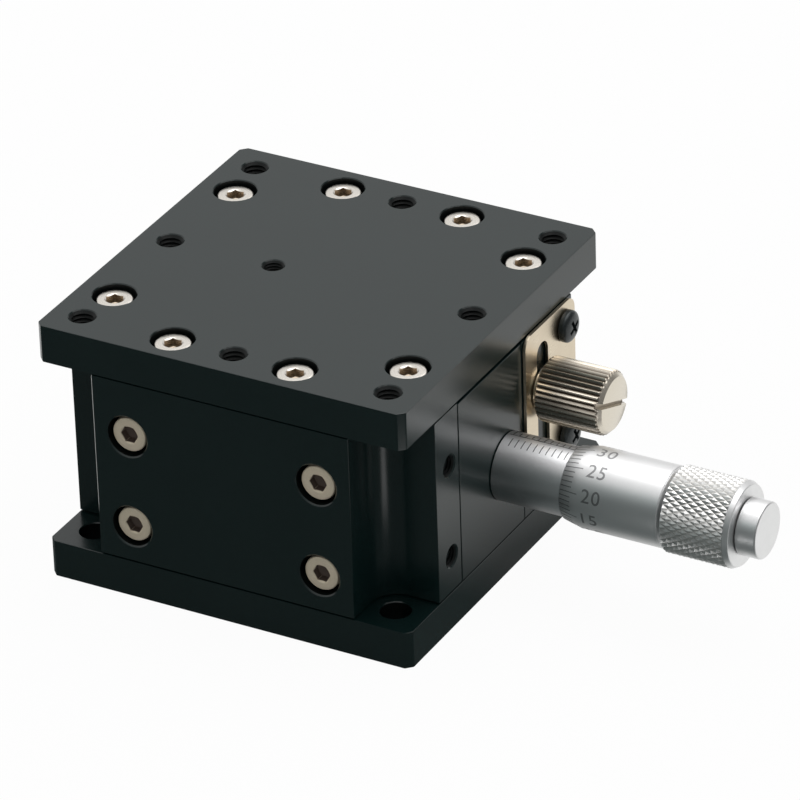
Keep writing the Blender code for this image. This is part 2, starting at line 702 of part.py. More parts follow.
def build_rails(finish, fixed, table):
    for side, label in ((-1, "left"), (1, "right")):
        rear_y = -CORE_HALF - SEAM
        front_y = -POCKET_FRONT + RUNNING_GAP
        inner = rail(side, INNER_RAIL_BACK, INNER_RAIL_FACE, rear_y, front_y, INNER_RAIL_MIDDLE)
        holes = []
        for z in rail_screw_heights(INNER_RAIL_MIDDLE):
            reach = CHANNEL_HALF + M25_COUNTERBORE_DEPTH - SEAM + RAIL_SCREW_LENGTH + THREAD_GAP
            place = (side * INNER_RAIL_SCREW_X, rear_y, z)
            holes.append(plain_hole(place, BACK, M25_HOLE_RADIUS, reach + rear_y))
        add_part("inner_rail_" + label, cut(inner, holes), finish, fixed)
        rear_y = -CORE_HALF - RUNNING_GAP
        front_y = -POCKET_FRONT + SEAM
        outer = rail(side, OUTER_RAIL_BACK, OUTER_RAIL_FACE, rear_y, front_y, OUTER_RAIL_MIDDLE)
        holes = []
        for z in rail_screw_heights(OUTER_RAIL_MIDDLE):
            tip = HALF - TOP_COUNTERBORE_DEPTH + SEAM - FRONT_SCREW_LENGTH - THREAD_GAP
            place = (side * OUTER_RAIL_SCREW_X, front_y, z)
            holes.append(plain_hole(place, FRONT, M3_HOLE_RADIUS, -front_y - tip))
        add_part("outer_rail_" + label, cut(outer, holes), finish, table)


def build_cages(finish, fixed):
    for side, label in ((-1, "left"), (1, "right")):
        middle = Vector((side * CAGE_X, -RAIL_PLANE, CAGE_MIDDLE))
        carrier = add_carrier("cage_carrier_" + label, middle, fixed)
        half = Vector((CAGE_THICKNESS / 2, CAGE_WIDTH / 2, CAGE_LENGTH / 2))
        strip = block(middle - half, middle + half)
        rollers = []
        for number in range(ROLLER_COUNT):
            rise = (number - (ROLLER_COUNT - 1) / 2) * ROLLER_PITCH
            slant = Vector((1, 1 if number % 2 else -1, 0)).normalized()
            place = middle + UP * rise - slant * ROLLER_RADIUS
            stations = [(0, ROLLER_RADIUS), (2 * ROLLER_RADIUS, ROLLER_RADIUS)]
            rollers.append(turned(place, slant, stations, ROLLER_SIDES))
        add_part("roller_cage_" + label, joined(strip, rollers), finish, carrier)


# Wedge drive

def ramp(x):
    return RAMP_HEIGHT + x * RAMP_SLOPE


def build_track(finish, screw_finish, parent):
    half = TRACK_WIDTH / 2
    top = CORE_BOTTOM + TRACK_HEIGHT
    body = block((TRACK_LEFT, -half, CORE_BOTTOM), (TRACK_RIGHT, half, top))
    sink = TRACK_SCREW_HEAD - TRACK_SCREW_RADIUS
    head_top = top - RUNNING_GAP
    holes = []
    for x in track_screw_places():
        stations = [
            (SEAM, TRACK_SCREW_HEAD + THREAD_GAP),
            (-RUNNING_GAP - THREAD_GAP, TRACK_SCREW_HEAD + THREAD_GAP),
            (-RUNNING_GAP - THREAD_GAP - sink, TRACK_SCREW_RADIUS + THREAD_GAP),
            (-TRACK_HEIGHT - SEAM, TRACK_SCREW_RADIUS + THREAD_GAP),
        ]
        holes.append(turned(Vector((x, 0, top)), UP, stations, HOLE_SIDES))
    add_part("wedge_track", cut(body, holes), finish, parent)
    stations = [
        (-TRACK_SCREW_LENGTH, TRACK_SCREW_RADIUS), (-sink, TRACK_SCREW_RADIUS), (0, TRACK_SCREW_HEAD),
    ]
    slot = block((-TRACK_SCREW_HEAD, -RUNNING_GAP, -sink), (TRACK_SCREW_HEAD, RUNNING_GAP, SEAM))
    mesh = finish_mesh(cut(turned(Vector(), UP, stations, HOLE_SIDES), [slot]), screw_finish)
    for number, x in enumerate(track_screw_places(), 1):
        add_copy(f"track_screw_{number}", mesh, parent, (x, 0, head_top), UP)


def build_wedge(finish, fixed):
    carrier = add_carrier("wedge_carrier", (WEDGE_HEAD, 0, SPINDLE_HEIGHT), fixed)
    low = BASE_THICKNESS + WEDGE_LIFT
    outline = [(-WEDGE_TAIL, low), (WEDGE_HEAD, low)]
    outline += [(x, ramp(x)) for x in (WEDGE_HEAD, -WEDGE_TAIL)]
    body = prism("Y", outline, -WEDGE_WIDTH / 2, WEDGE_WIDTH / 2)
    half = TRACK_WIDTH / 2 + TRACK_SIDE_GAP
    roof = CORE_BOTTOM + TRACK_HEIGHT + TRACK_SIDE_GAP
    groove = block((-WEDGE_TAIL - SEAM, -half, low - SEAM), (WEDGE_HEAD + SEAM, half, roof))
    add_part("wedge", cut(body, [groove]), finish, carrier)


def build_follower(bracket_finish, steel, screw_finish, table):
    top = TABLE_UNDERSIDE - SEAM
    flange_bottom = top - BRACKET_FLANGE
    half_length = BRACKET_LENGTH / 2
    half_width = BRACKET_WIDTH / 2
    flange = block((-half_length, -half_width, flange_bottom), (half_length, half_width, top))
    outline = [(BRACKET_END_RADIUS, flange_bottom + SEAM), (-BRACKET_END_RADIUS, flange_bottom + SEAM)]
    outline += arc((0, AXLE_HEIGHT), BRACKET_END_RADIUS, 180, 360, 2 * ARC_STEPS)
    inner_y = half_width - BRACKET_CHEEK
    cheeks = [prism("Y", outline, inner_y, half_width), prism("Y", outline, -half_width, -inner_y)]
    holes = []
    hole_radius = AXLE_RADIUS + THREAD_GAP
    axle_hole = [(-half_width - SEAM, hole_radius), (half_width + SEAM, hole_radius)]
    holes.append(turned(Vector((0, 0, AXLE_HEIGHT)), BACK, axle_hole, HOLE_SIDES))
    bracket_x = BRACKET_SCREW_SPACING / 2
    for x in (-bracket_x, bracket_x):
        holes.append(plain_hole((x, 0, top), UP, M3_HOLE_RADIUS, BRACKET_FLANGE + SEAM))
    add_part("follower_bracket", cut(joined(flange, cheeks), holes), bracket_finish, table)
    mesh = m3_screw(BRACKET_SCREW_LENGTH, screw_finish)
    for number, x in enumerate((-bracket_x, bracket_x), 1):
        add_copy(f"bracket_screw_{number}", mesh, table, (x, 0, flange_bottom - SEAM), DOWN)
    centre = Vector((0, 0, AXLE_HEIGHT))
    axle = turned(centre, BACK, [(-AXLE_LENGTH / 2, AXLE_RADIUS), (AXLE_LENGTH / 2, AXLE_RADIUS)], HOLE_SIDES)
    add_part("follower_axle", axle, steel, table, centre)
    bore = AXLE_RADIUS + RUNNING_GAP
    half = FOLLOWER_WIDTH / 2
    stations = [(-half, bore), (-half, FOLLOWER_RADIUS), (half, FOLLOWER_RADIUS), (half, bore)]
    carrier = add_carrier("follower_carrier", centre, table)
    add_part("follower_roller", turned(centre, BACK, stations, FOLLOWER_SIDES, hollow=True), steel, carrier)


# Micrometer

def build_sleeve(finish, screw_finish, parent):
    axis = Vector((HALF, 0, SPINDLE_HEIGHT))
    stations = [
        (-RIGHT_WALL, SPINDLE_HOLE_RADIUS), (-RIGHT_WALL, STEM_RADIUS), (SEAM, STEM_RADIUS),
        (SEAM, SLEEVE_RADIUS), (SLEEVE_END - HALF, SLEEVE_RADIUS), (SLEEVE_END - HALF, SPINDLE_HOLE_RADIUS),
    ]
    shape = turned(axis, RIGHT, stations, TURNED_SIDES, hollow=True)
    add_part("micrometer_sleeve", shape, finish, parent, axis)
    mesh = set_screw(LOCK_SCREW_LENGTH, screw_finish)
    tip = SPINDLE_HEIGHT + STEM_RADIUS + SEAM
    add_copy("micrometer_lock_screw", mesh, parent, (lock_screw_x(), 0, tip), UP)


def build_spindle(finish, fixed):
    carrier = add_carrier("spindle_carrier", (SPINDLE_START, 0, SPINDLE_HEIGHT), fixed)
    stations = [(0, SPINDLE_RADIUS), (SPINDLE_END - SPINDLE_START, SPINDLE_RADIUS)]
    place = world_place(carrier)
    add_part("spindle", turned(place, RIGHT, stations, FOLLOWER_SIDES), finish, carrier)
    return carrier


def build_thimble(finish, cap_finish, spindle):
    axis = Vector((THIMBLE_FRONT, 0, SPINDLE_HEIGHT))
    carrier = add_carrier("thimble_carrier", axis, spindle)
    outside = [
        (THIMBLE_FRONT, THIMBLE_BORE_RADIUS), (THIMBLE_FRONT, THIMBLE_BORE_RADIUS + THIMBLE_EDGE_WALL),
        (SCALE_END, THIMBLE_RADIUS), (BARREL_END, THIMBLE_RADIUS), (GRIP_START, GRIP_RADIUS),
        (GRIP_END, GRIP_RADIUS), (THIMBLE_END, GRIP_END_RADIUS), (THIMBLE_END, SPINDLE_HOLE_RADIUS),
        (THIMBLE_FLOOR, SPINDLE_HOLE_RADIUS), (THIMBLE_FLOOR, THIMBLE_BORE_RADIUS),
    ]
    stations = [(x - THIMBLE_FRONT, radius) for x, radius in outside]
    add_part("thimble", turned(axis, RIGHT, stations, TURNED_SIDES, hollow=True), finish, carrier)
    place = Vector((CAP_START, 0, SPINDLE_HEIGHT))
    stations = [
        (-CAP_SPIGOT_LENGTH, SPINDLE_RADIUS), (0, SPINDLE_RADIUS), (0, CAP_RADIUS),
        (CAP_LENGTH - CAP_CHAMFER, CAP_RADIUS), (CAP_LENGTH, CAP_RADIUS - CAP_CHAMFER),
    ]
    add_part("thimble_cap", turned(place, RIGHT, stations, TURNED_SIDES), cap_finish, carrier, place)


# Clamp

def rounded_rectangle(low, high, radius):
    corners = (
        ((low[0] + radius, low[1] + radius), 180), ((high[0] - radius, low[1] + radius), 270),
        ((high[0] - radius, high[1] - radius), 0), ((low[0] + radius, high[1] - radius), 90),
    )
    points = []
    for centre, start in corners:
        points += arc(centre, radius, start, start + 90)
    return points


def build_clamp_plate(finish, screw_finish, table):
    low = (CLAMP_PLATE_LEFT, CLAMP_PLATE_BOTTOM)
    high = (CLAMP_PLATE_RIGHT, CLAMP_PLATE_TOP)
    outline = rounded_rectangle(low, high, CLAMP_CORNER_RADIUS)
    body = prism("X", outline, CLAMP_PLATE_BACK, CLAMP_PLATE_FACE)
    half = SLOT_WIDTH / 2
    reach = SLOT_LENGTH / 2 - half
    slot = arc((SLOT_Y, SLOT_MIDDLE + reach), half, 0, 180)
    slot += arc((SLOT_Y, SLOT_MIDDLE - reach), half, 180, 360)
    tools = [prism("X", slot, CLAMP_PLATE_BACK - SEAM, CLAMP_PLATE_FACE + SEAM)]
    for z in PAN_SCREW_HEIGHTS:
        depth = CLAMP_PLATE_THICKNESS + SEAM
        tools.append(plain_hole((CLAMP_PLATE_FACE, PAN_SCREW_Y, z), RIGHT, PAN_HOLE_RADIUS, depth))
    add_part("clamp_plate", cut(body, tools), finish, table)
    mesh = pan_screw(screw_finish)
    for number, z in enumerate(PAN_SCREW_HEIGHTS, 1):
        add_copy(f"pan_screw_{number}", mesh, table, (PAN_HEAD_SEAT, PAN_SCREW_Y, z), RIGHT)


def build_clamp_knob(finish, fixed):
    seat = Vector((KNOB_SEAT, SLOT_Y, KNOB_HEIGHT))
    carrier = add_carrier("knob_carrier", seat, fixed)
    grip_start = KNOB_COLLAR_LENGTH + KNOB_ROOT_BEVEL
    grip_end = grip_start + KNOB_GRIP_LENGTH
    end = grip_end + KNOB_END_BEVEL
    stations = [
        (-KNOB_SHANK_LENGTH, KNOB_SHANK_RADIUS), (0, KNOB_SHANK_RADIUS), (0, KNOB_COLLAR_RADIUS),
        (KNOB_COLLAR_LENGTH, KNOB_COLLAR_RADIUS), (grip_start, KNOB_RADIUS), (grip_end, KNOB_RADIUS),
        (end, KNOB_END_RADIUS),
    ]
    slot = block(
        (end - KNOB_SLOT_DEPTH, -KNOB_RADIUS - SEAM, -KNOB_SLOT_WIDTH / 2),
        (end + SEAM, KNOB_RADIUS + SEAM, KNOB_SLOT_WIDTH / 2),
    )
    slot.transform(Matrix.Translation(seat) @ Matrix.Rotation(KNOB_SLOT_TURN, 4, "X"))
    add_part("clamp_knob", cut(turned(seat, RIGHT, stations, KNOB_SIDES), [slot]), finish, carrier)


# Return springs and the studs that hold their ends

def coil(place, radius, wire_radius, height, coils):
    shape = bmesh.new()
    rings = []
    total = coils * COIL_STEPS
    rise_rate = height / (coils * math.tau)
    for step in range(total + 1):
        angle = math.tau * step / COIL_STEPS
        outward = Vector((math.cos(angle), math.sin(angle), 0))
        along = Vector((-math.sin(angle) * radius, math.cos(angle) * radius, rise_rate)).normalized()
        across = along.cross(outward)
        centre = place + outward * radius + UP * (height * step / total)
        ring = []
        for side in range(WIRE_SIDES):
            turn = math.tau * side / WIRE_SIDES
            offset = outward * math.cos(turn) + across * math.sin(turn)
            ring.append(shape.verts.new(centre + offset * wire_radius))
        rings.append(ring)
    for first, second in zip(rings, rings[1:]):
        for side in range(WIRE_SIDES):
            following = (side + 1) % WIRE_SIDES
            shape.faces.new((first[side], first[following], second[following], second[side]))
    shape.faces.new(rings[0])
    shape.faces.new(rings[-1])
    return facing_out(shape)


def build_springs(finish, stud_finish, fixed, table):
    stations = [
        (-STUD_TAIL_LENGTH, STUD_TAIL_RADIUS), (0, STUD_TAIL_RADIUS),
        (0, STUD_RADIUS), (STUD_LENGTH, STUD_RADIUS),
    ]
    mesh = finish_mesh(turned(Vector(), UP, stations, SCREW_SIDES), stud_finish)
    for y, label in ((-WEB_MIDDLE, "front"), (WEB_MIDDLE, "rear")):
        low = CORE_BOTTOM + RUNNING_GAP + SPRING_WIRE_RADIUS
        high = BLOCK_TOP - RUNNING_GAP - SPRING_WIRE_RADIUS
        shape = coil(Vector((0, y, low)), SPRING_RADIUS, SPRING_WIRE_RADIUS, high - low, SPRING_COILS)
        add_part("return_spring_" + label, shape, finish, fixed, (0, y, low))
        add_copy("base_stud_" + label, mesh, fixed, (0, y, CORE_BOTTOM), UP)
        add_copy("table_stud_" + label, mesh, table, (0, y, BLOCK_TOP), DOWN)


# Screws that hold the plates, blocks and rails

def build_screws(bright, warm, black, fixed, table):
    mesh = m3_screw(TOP_SCREW_LENGTH, bright)
    seat = STAGE_HEIGHT - TOP_COUNTERBORE_DEPTH + SEAM
    for number, (x, y) in enumerate(top_screw_places(), 1):
        add_copy(f"top_screw_{number}", mesh, table, (x, y, seat), UP)
    mesh = m3_screw(FRONT_SCREW_LENGTH, warm)
    seat = -HALF + TOP_COUNTERBORE_DEPTH - SEAM
    for number, (x, z) in enumerate(rail_screw_places(OUTER_RAIL_SCREW_X, OUTER_RAIL_MIDDLE), 1):
        add_copy(f"front_screw_{number}", mesh, table, (x, seat, z), FRONT)
    mesh = m3_screw(BASE_SCREW_LENGTH, black)
    seat = BASE_COUNTERBORE_DEPTH - SEAM
    for number, (x, y) in enumerate(base_screw_places(), 1):
        add_copy(f"base_screw_{number}", mesh, fixed, (x, y, seat), DOWN)
    sizes = (M25_RADIUS, M25_HEAD_RADIUS, M25_HEAD_HEIGHT, M25_SOCKET_RADIUS, RAIL_SCREW_LENGTH)
    mesh = socket_screw(*sizes, black)
    seat = -CHANNEL_HALF - M25_COUNTERBORE_DEPTH + SEAM
    for number, (x, z) in enumerate(rail_screw_places(INNER_RAIL_SCREW_X, INNER_RAIL_MIDDLE), 1):
        add_copy(f"inner_rail_screw_{number}", mesh, fixed, (x, seat, z), BACK)
    tip = OUTER_RAIL_BACK + SEAM
    mesh = set_screw(HALF - PRELOAD_SCREW_RECESS - tip, black)
    for number, z in enumerate(rail_screw_heights(OUTER_RAIL_MIDDLE), 1):
        add_copy(f"preload_screw_{number}", mesh, table, (tip, -RAIL_PLANE, z), RIGHT)


def build_stage():
    clear_scene()
    finish = {name: make_finish(name) for name in FINISHES}
    fixed = add_carrier("fixed_carrier", (0, 0, 0))
    table = add_carrier("table_carrier", (0, 0, TABLE_UNDERSIDE), fixed)
    build_base_plate(finish["black_anodised"], fixed)
    build_centre_block(finish["black_anodised"], fixed)
    build_clamp_bar(finish["black_anodised"], fixed)
    build_top_plate(finish["black_anodised"], table)
    build_front_block(finish["black_anodised"], table)
    build_rear_block(finish["black_anodised"], table)
    build_rails(finish["ground_steel"], fixed, table)
    build_cages(finish["brass"], fixed)
    build_track(finish["ground_steel"], finish["black_steel"], fixed)
    build_wedge(finish["ground_steel"], fixed)
    build_follower(finish["ground_steel"], finish["bright_steel"], finish["black_steel"], table)
    build_sleeve(finish["satin_chrome"], finish["black_steel"], fixed)
    spindle = build_spindle(finish["bright_steel"], fixed)
    build_thimble(finish["satin_chrome"], finish["satin_chrome"], spindle)
    build_clamp_plate(finish["pale_plate"], finish["black_steel"], table)
    build_clamp_knob(finish["warm_nickel"], fixed)
    build_springs(finish["bright_steel"], finish["brass"], fixed, table)
    build_screws(finish["bright_steel"], finish["warm_nickel"], finish["black_steel"], fixed, table)


build_stage()
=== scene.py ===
import json
import math

import bmesh
import bpy
from mathutils import Matrix, Vector

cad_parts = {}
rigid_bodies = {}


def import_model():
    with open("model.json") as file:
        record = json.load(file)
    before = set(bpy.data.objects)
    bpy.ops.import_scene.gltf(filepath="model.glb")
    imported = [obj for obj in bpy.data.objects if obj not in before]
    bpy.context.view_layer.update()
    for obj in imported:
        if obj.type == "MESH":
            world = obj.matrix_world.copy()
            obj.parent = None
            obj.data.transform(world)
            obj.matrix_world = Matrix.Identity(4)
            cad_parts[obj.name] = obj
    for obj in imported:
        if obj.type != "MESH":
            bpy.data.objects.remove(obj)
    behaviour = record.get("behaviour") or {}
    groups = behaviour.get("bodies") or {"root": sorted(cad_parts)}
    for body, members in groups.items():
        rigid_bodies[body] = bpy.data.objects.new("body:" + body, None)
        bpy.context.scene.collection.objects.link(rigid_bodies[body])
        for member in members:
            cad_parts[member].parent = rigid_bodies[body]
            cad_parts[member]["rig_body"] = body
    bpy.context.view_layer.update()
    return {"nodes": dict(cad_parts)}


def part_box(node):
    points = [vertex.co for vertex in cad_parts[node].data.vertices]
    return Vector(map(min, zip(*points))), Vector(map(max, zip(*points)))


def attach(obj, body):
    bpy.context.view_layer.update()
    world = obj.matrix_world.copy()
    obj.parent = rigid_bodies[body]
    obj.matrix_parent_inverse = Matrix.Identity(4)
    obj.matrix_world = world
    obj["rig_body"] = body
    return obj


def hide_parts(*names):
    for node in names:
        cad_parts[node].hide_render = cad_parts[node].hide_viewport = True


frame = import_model()
scene = bpy.context.scene
mm = 0.001
over = 0.5 * mm  # how far a cutter sticks out of the face it cuts

# each side of the stage: the axis it lies on, its sign, and the turn from +Z that faces it
axes = {"up": (2, 1), "down": (2, -1), "right": (0, 1), "front": (1, -1), "back": (1, 1)}
turns = {"up": (0, "X"), "down": (180, "X"), "right": (90, "Y"), "front": (90, "X"), "back": (-90, "X")}
facing = {side: Matrix.Rotation(math.radians(angle), 4, axis) for side, (angle, axis) in turns.items()}

rounding = {
    "smoothAngle": math.radians(30), "merge": 0.0005 * mm,
    "holeSides": 48, "turnedSides": 96, "threadShare": 0.54, "bevelSteps": 2,
}


# shader nodes, written as sums

class Amount:
    def __init__(self, sheet, socket):
        self.sheet = sheet
        self.socket = socket

    def sum(self, operation, first, second):
        return self.sheet.node("ShaderNodeMath", {"operation": operation}, {0: first, 1: second})

    def __add__(self, other):
        return self.sum("ADD", self, other)

    def __radd__(self, other):
        return self.sum("ADD", other, self)

    def __sub__(self, other):
        return self.sum("SUBTRACT", self, other)

    def __rsub__(self, other):
        return self.sum("SUBTRACT", other, self)

    def __mul__(self, other):
        return self.sum("MULTIPLY", self, other)

    def __rmul__(self, other):
        return self.sum("MULTIPLY", other, self)

    def swing(self, spread):
        # a pattern from 0 to 1, taken about its middle
        return (self - 0.5) * spread


class Sheet:
    def __init__(self, tree, final):
        self.tree = tree
        self.final = tree.nodes[final]

    def node(self, kind, settings=None, inputs=None, output=0):
        made = self.tree.nodes.new(kind)
        for key, value in (settings or {}).items():
            setattr(made, key, value)
        for key, value in (inputs or {}).items():
            self.feed(made.inputs[key], value)
        return Amount(self, made.outputs[output])

    def feed(self, socket, value):
        if isinstance(value, Amount):
            self.tree.links.new(value.socket, socket)
        elif socket.type == "RGBA":
            socket.default_value = (*value, 1.0)
        else:
            socket.default_value = value

    def end(self, inputs):
        # what the sheet's last node gets
        for key, value in inputs.items():
            self.feed(self.final.inputs[key], value)

    def ownPlace(self):
        return self.node("ShaderNodeAttribute", {"attribute_name": "ownPlace"}, {}, "Vector")

    def objectPlace(self):
        return self.node("ShaderNodeTexCoord", {}, {}, "Object")

    def stretched(self, place, scale):
        return self.node("ShaderNodeMapping", {}, {"Vector": place, "Scale": scale})

    def axis(self, place, name):
        return self.node("ShaderNodeSeparateXYZ", {}, {0: place}, name)

    def away(self, place):
        return self.node("ShaderNodeVectorMath", {"operation": "LENGTH"}, {0: place}, "Value")

    def grain(self, place, size, detail=3.0, roughness=0.5):
        inputs = {"Vector": place, "Scale": 1 / size, "Detail": detail, "Roughness": roughness}
        return self.node("ShaderNodeTexNoise", {}, inputs)

    def lines(self, along, size):
        inputs = {"W": along, "Scale": 1 / size, "Detail": 3.0}
        return self.node("ShaderNodeTexNoise", {"noise_dimensions": "1D"}, inputs)

    def clamped(self, amount, low, high, newLow=0.0, newHigh=1.0):
        inputs = {0: amount, 1: low, 2: high, 3: newLow, 4: newHigh}
        return self.node("ShaderNodeMapRange", {"clamp": True}, inputs)

    def blend(self, factor, first, second):
        return self.node("ShaderNodeMix", {"data_type": "RGBA"}, {"Factor": factor, 6: first, 7: second}, 2)

    def surface(self, base, roughness, height=None, strength=0.0, distance=0.004 * mm):
        # a finish's colour and roughness, and bumps as high as its grain
        self.end({"Base Color": base, "Roughness": roughness})
        if strength:
            inputs = {"Height": height, "Strength": strength, "Distance": distance}
            self.end({"Normal": self.node("ShaderNodeBump", {}, inputs)})


# shapes, each made round its own origin

def tidied(shape):
    bmesh.ops.remove_doubles(shape, verts=shape.verts[:], dist=rounding["merge"])
    bmesh.ops.recalc_face_normals(shape, faces=shape.faces[:])
    if shape.calc_volume(signed=True) < 0:
        bmesh.ops.reverse_faces(shape, faces=shape.faces[:])
    return shape


def pushed(outline, axis, low, high):
    # (y, z) outlines go along X, (x, z) along Y and (x, y) along Z
    order = {"X": (2, 0, 1), "Y": (0, 2, 1), "Z": (0, 1, 2)}[axis]
    shape = bmesh.new()
    corners = []
    for first, second in outline:
        values = (first, second, low)
        corners.append(shape.verts.new([values[place] for place in order]))
    face = shape.faces.new(corners)
    made = bmesh.ops.extrude_face_region(shape, geom=[face])["geom"]
    far = [item for item in made if isinstance(item, bmesh.types.BMVert)]
    step = Vector([high - low if axis == name else 0 for name in "XYZ"])
    bmesh.ops.translate(shape, verts=far, vec=step)
    return tidied(shape)


def spun(profile, sides, hollow=False):
    # (along, radius) points turned round Z, closed by flat ends unless the profile is a loop
    shape = bmesh.new()
    points = [shape.verts.new((radius, 0, along)) for along, radius in profile]
    edges = [shape.edges.new(pair) for pair in zip(points, points[1:])]
    if hollow:
        edges.append(shape.edges.new((points[-1], points[0])))
    turn = {"cent": (0, 0, 0), "axis": (0, 0, 1), "angle": math.tau, "steps": sides}
    bmesh.ops.spin(shape, geom=points + edges, use_merge=True, **turn)
    rims = [edge for edge in shape.edges if edge.is_boundary]
    if rims:
        bmesh.ops.holes_fill(shape, edges=rims, sides=0)
    return tidied(shape)


def together(shapes):
    # several separate shapes in one bmesh
    whole = bmesh.new()
    for shape in shapes:
        mesh = bpy.data.meshes.new("part")
        shape.to_mesh(mesh)
        shape.free()
        whole.from_mesh(mesh)
        bpy.data.meshes.remove(mesh)
    return whole


def moved(shape, place=(0, 0, 0), turn=facing["up"]):
    shape.transform(Matrix.Translation(place) @ turn)
    return shape


def settled(holder):
    # the bmesh of an object, with its modifiers or its lettering worked out
    mesh = bpy.data.meshes.new_from_object(holder.evaluated_get(bpy.context.evaluated_depsgraph_get()))
    shape = bmesh.new()
    shape.from_mesh(mesh)
    bpy.data.meshes.remove(mesh)
    return shape


def bored(shape, cutters):
    # one Boolean with all the cutters, which don't touch each other
    holders = []
    for name, item in (("stock", shape), ("cutters", together(cutters))):
        mesh = bpy.data.meshes.new(name)
        for slot in range(2):  # one for the outside, one for the holes
            mesh.materials.append(None)
        item.to_mesh(mesh)
        item.free()
        holders.append(bpy.data.objects.new(name, mesh))
        scene.collection.objects.link(holders[-1])
    boolean = holders[0].modifiers.new("bore", "BOOLEAN")
    boolean.operation = "DIFFERENCE"
    boolean.solver = "EXACT"
    boolean.object = holders[1]
    result = settled(holders[0])
    for holder in holders:
        bpy.data.objects.remove(holder)
    return result


def eased(shape, width, keep=lambda edge: True):
    # every sharp edge that is kept gets a small rounded chamfer
    sharp = [edge for edge in shape.edges if edge.calc_face_angle(0) > rounding["smoothAngle"] and keep(edge)]
    steps = rounding["bevelSteps"]
    bmesh.ops.bevel(shape, geom=sharp, offset=width, segments=steps, profile=0.5, affect="EDGES", material=-1,
                    clamp_overlap=True)
    return shape


def arcPoints(centre, radius, start, end, steps):
    angles = [math.radians(start + (end - start) * step / steps) for step in range(steps + 1)]
    return [(centre[0] + radius * math.cos(angle), centre[1] + radius * math.sin(angle)) for angle in angles]


def roundedEnd(height, radius, ease, steps):
    # (along, radius) points over the rounded rim of a turned piece to the middle of its end
    arc = arcPoints((radius - ease, height - ease), ease, 0, 90, steps)
    return [(along, out) for out, along in arc] + [(height, 0)]


def roundStep(vertex, steps):
    # which step round Z a point lies on, and how far out it is
    step = round(math.atan2(vertex.co.y, vertex.co.x) / math.tau * steps)
    return step, math.hypot(vertex.co.x, vertex.co.y)


def narrowed(shape, vertices, share):
    bmesh.ops.scale(shape, vec=(share, share, 1), verts=vertices)


# cutters for holes, which go down from a face at 0 and leave their own finish, painted shade, below the mouth

drills = {"shank": 1.65 * mm, "head": 3.25 * mm, "pitch": 0.5 * mm}  # radii and thread for the 3 mm screws


def hole(radius, mouth, below):
    cutter = spun([(over, radius + mouth), (0, radius + mouth), *below], rounding["holeSides"])
    for face in cutter.faces:
        if face.calc_center_median().z < -mouth:
            face.material_index = 1
    return cutter


def plainHole(radius, depth, mouth, farMouth=0.0):
    below = [(-mouth, radius), (farMouth - depth, radius)]
    if farMouth:
        below += [(-depth, radius + farMouth), (-depth - over, radius + farMouth)]
    return hole(radius, mouth, below)


def stepHole(wide, wideDepth, narrow, depth, mouth):
    return hole(wide, mouth, [(-mouth, wide), (-wideDepth, wide), (-wideDepth, narrow), (-depth, narrow)])


def tappedHole(radius, depth, pitch, mouth):
    crest = radius - rounding["threadShare"] * pitch
    below = []
    for turn in range(int((depth - mouth) / pitch)):
        top = -mouth - turn * pitch
        below += [(top, radius), (top - pitch / 2, crest)]
    return hole(radius, mouth, below + [(-depth - over, crest)])


def drilled(cutter, side, face, places):
    # copies of a cutter, set into the face on a side of a block over these places
    copies = []
    for place in places:
        spot = Vector(place)
        spot[axes[side][0]] = face
        copies.append(moved(cutter.copy(), spot, facing[side]))
    cutter.free()
    return copies


# showing a piece in place of its CAD node

def boxOf(node):
    low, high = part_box(node)
    return low, high, (low + high) / 2


def nodesOf(kind):
    return sorted(node for node in frame["nodes"] if node.startswith(f"{kind}_"))


def middlesOf(kind):
    return [boxOf(node)[2] for node in nodesOf(kind)]


finishes = {}


def show(name, shape, slot, node, place=(0, 0, 0), turn=facing["up"], finish=None, inside=None, replaces=True):
    # inside names the finish of drilled and tapped holes, painted darker as shade
    mesh = bpy.data.meshes.new(name)
    shape.to_mesh(mesh)
    own = mesh.attributes.new("ownPlace", "FLOAT_VECTOR", "POINT")
    own.data.foreach_set("vector", [value for vertex in mesh.vertices for value in vertex.co])
    mesh.transform(Matrix.Translation(place) @ turn)
    mesh.materials.append(finishes[finish or slot])
    if inside:
        mesh.materials.append(finishes[inside])
    else:
        mesh.polygons.foreach_set("material_index", [0] * len(mesh.polygons))
    mesh.shade_smooth()
    mesh.set_sharp_from_angle(angle=rounding["smoothAngle"])
    piece = bpy.data.objects.new(name, mesh)
    scene.collection.objects.link(piece)
    evenly = piece.modifiers.new("evenly", "WEIGHTED_NORMAL")  # keeps the large faces flat beside their rims
    evenly.keep_sharp = True
    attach(piece, frame["nodes"][node]["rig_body"])
    if replaces:
        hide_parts(node)
    return piece


def showBlack(name, shape, node):
    return show(name, shape, "black_anodised", node, inside="boreShade")


def showTurned(name, shape, slot, node, along, finish=None, replaces=True):
    # a piece on an axis that runs to the right, with its 0 this far along
    middle = boxOf(node)[2]
    place = (along, middle.y, middle.z)
    return show(name, shape, slot, node, place, facing["right"], finish, replaces=replaces)


# finishes, each with a base colour and a shade, a roughness and the bumps of its grain

def newFinish(name, metallic, ior=1.5):
    material = bpy.data.materials.new(name)
    material.use_nodes = True
    sheet = Sheet(material.node_tree, "Principled BSDF")
    sheet.end({"Metallic": metallic, "IOR": ior})
    return material, sheet


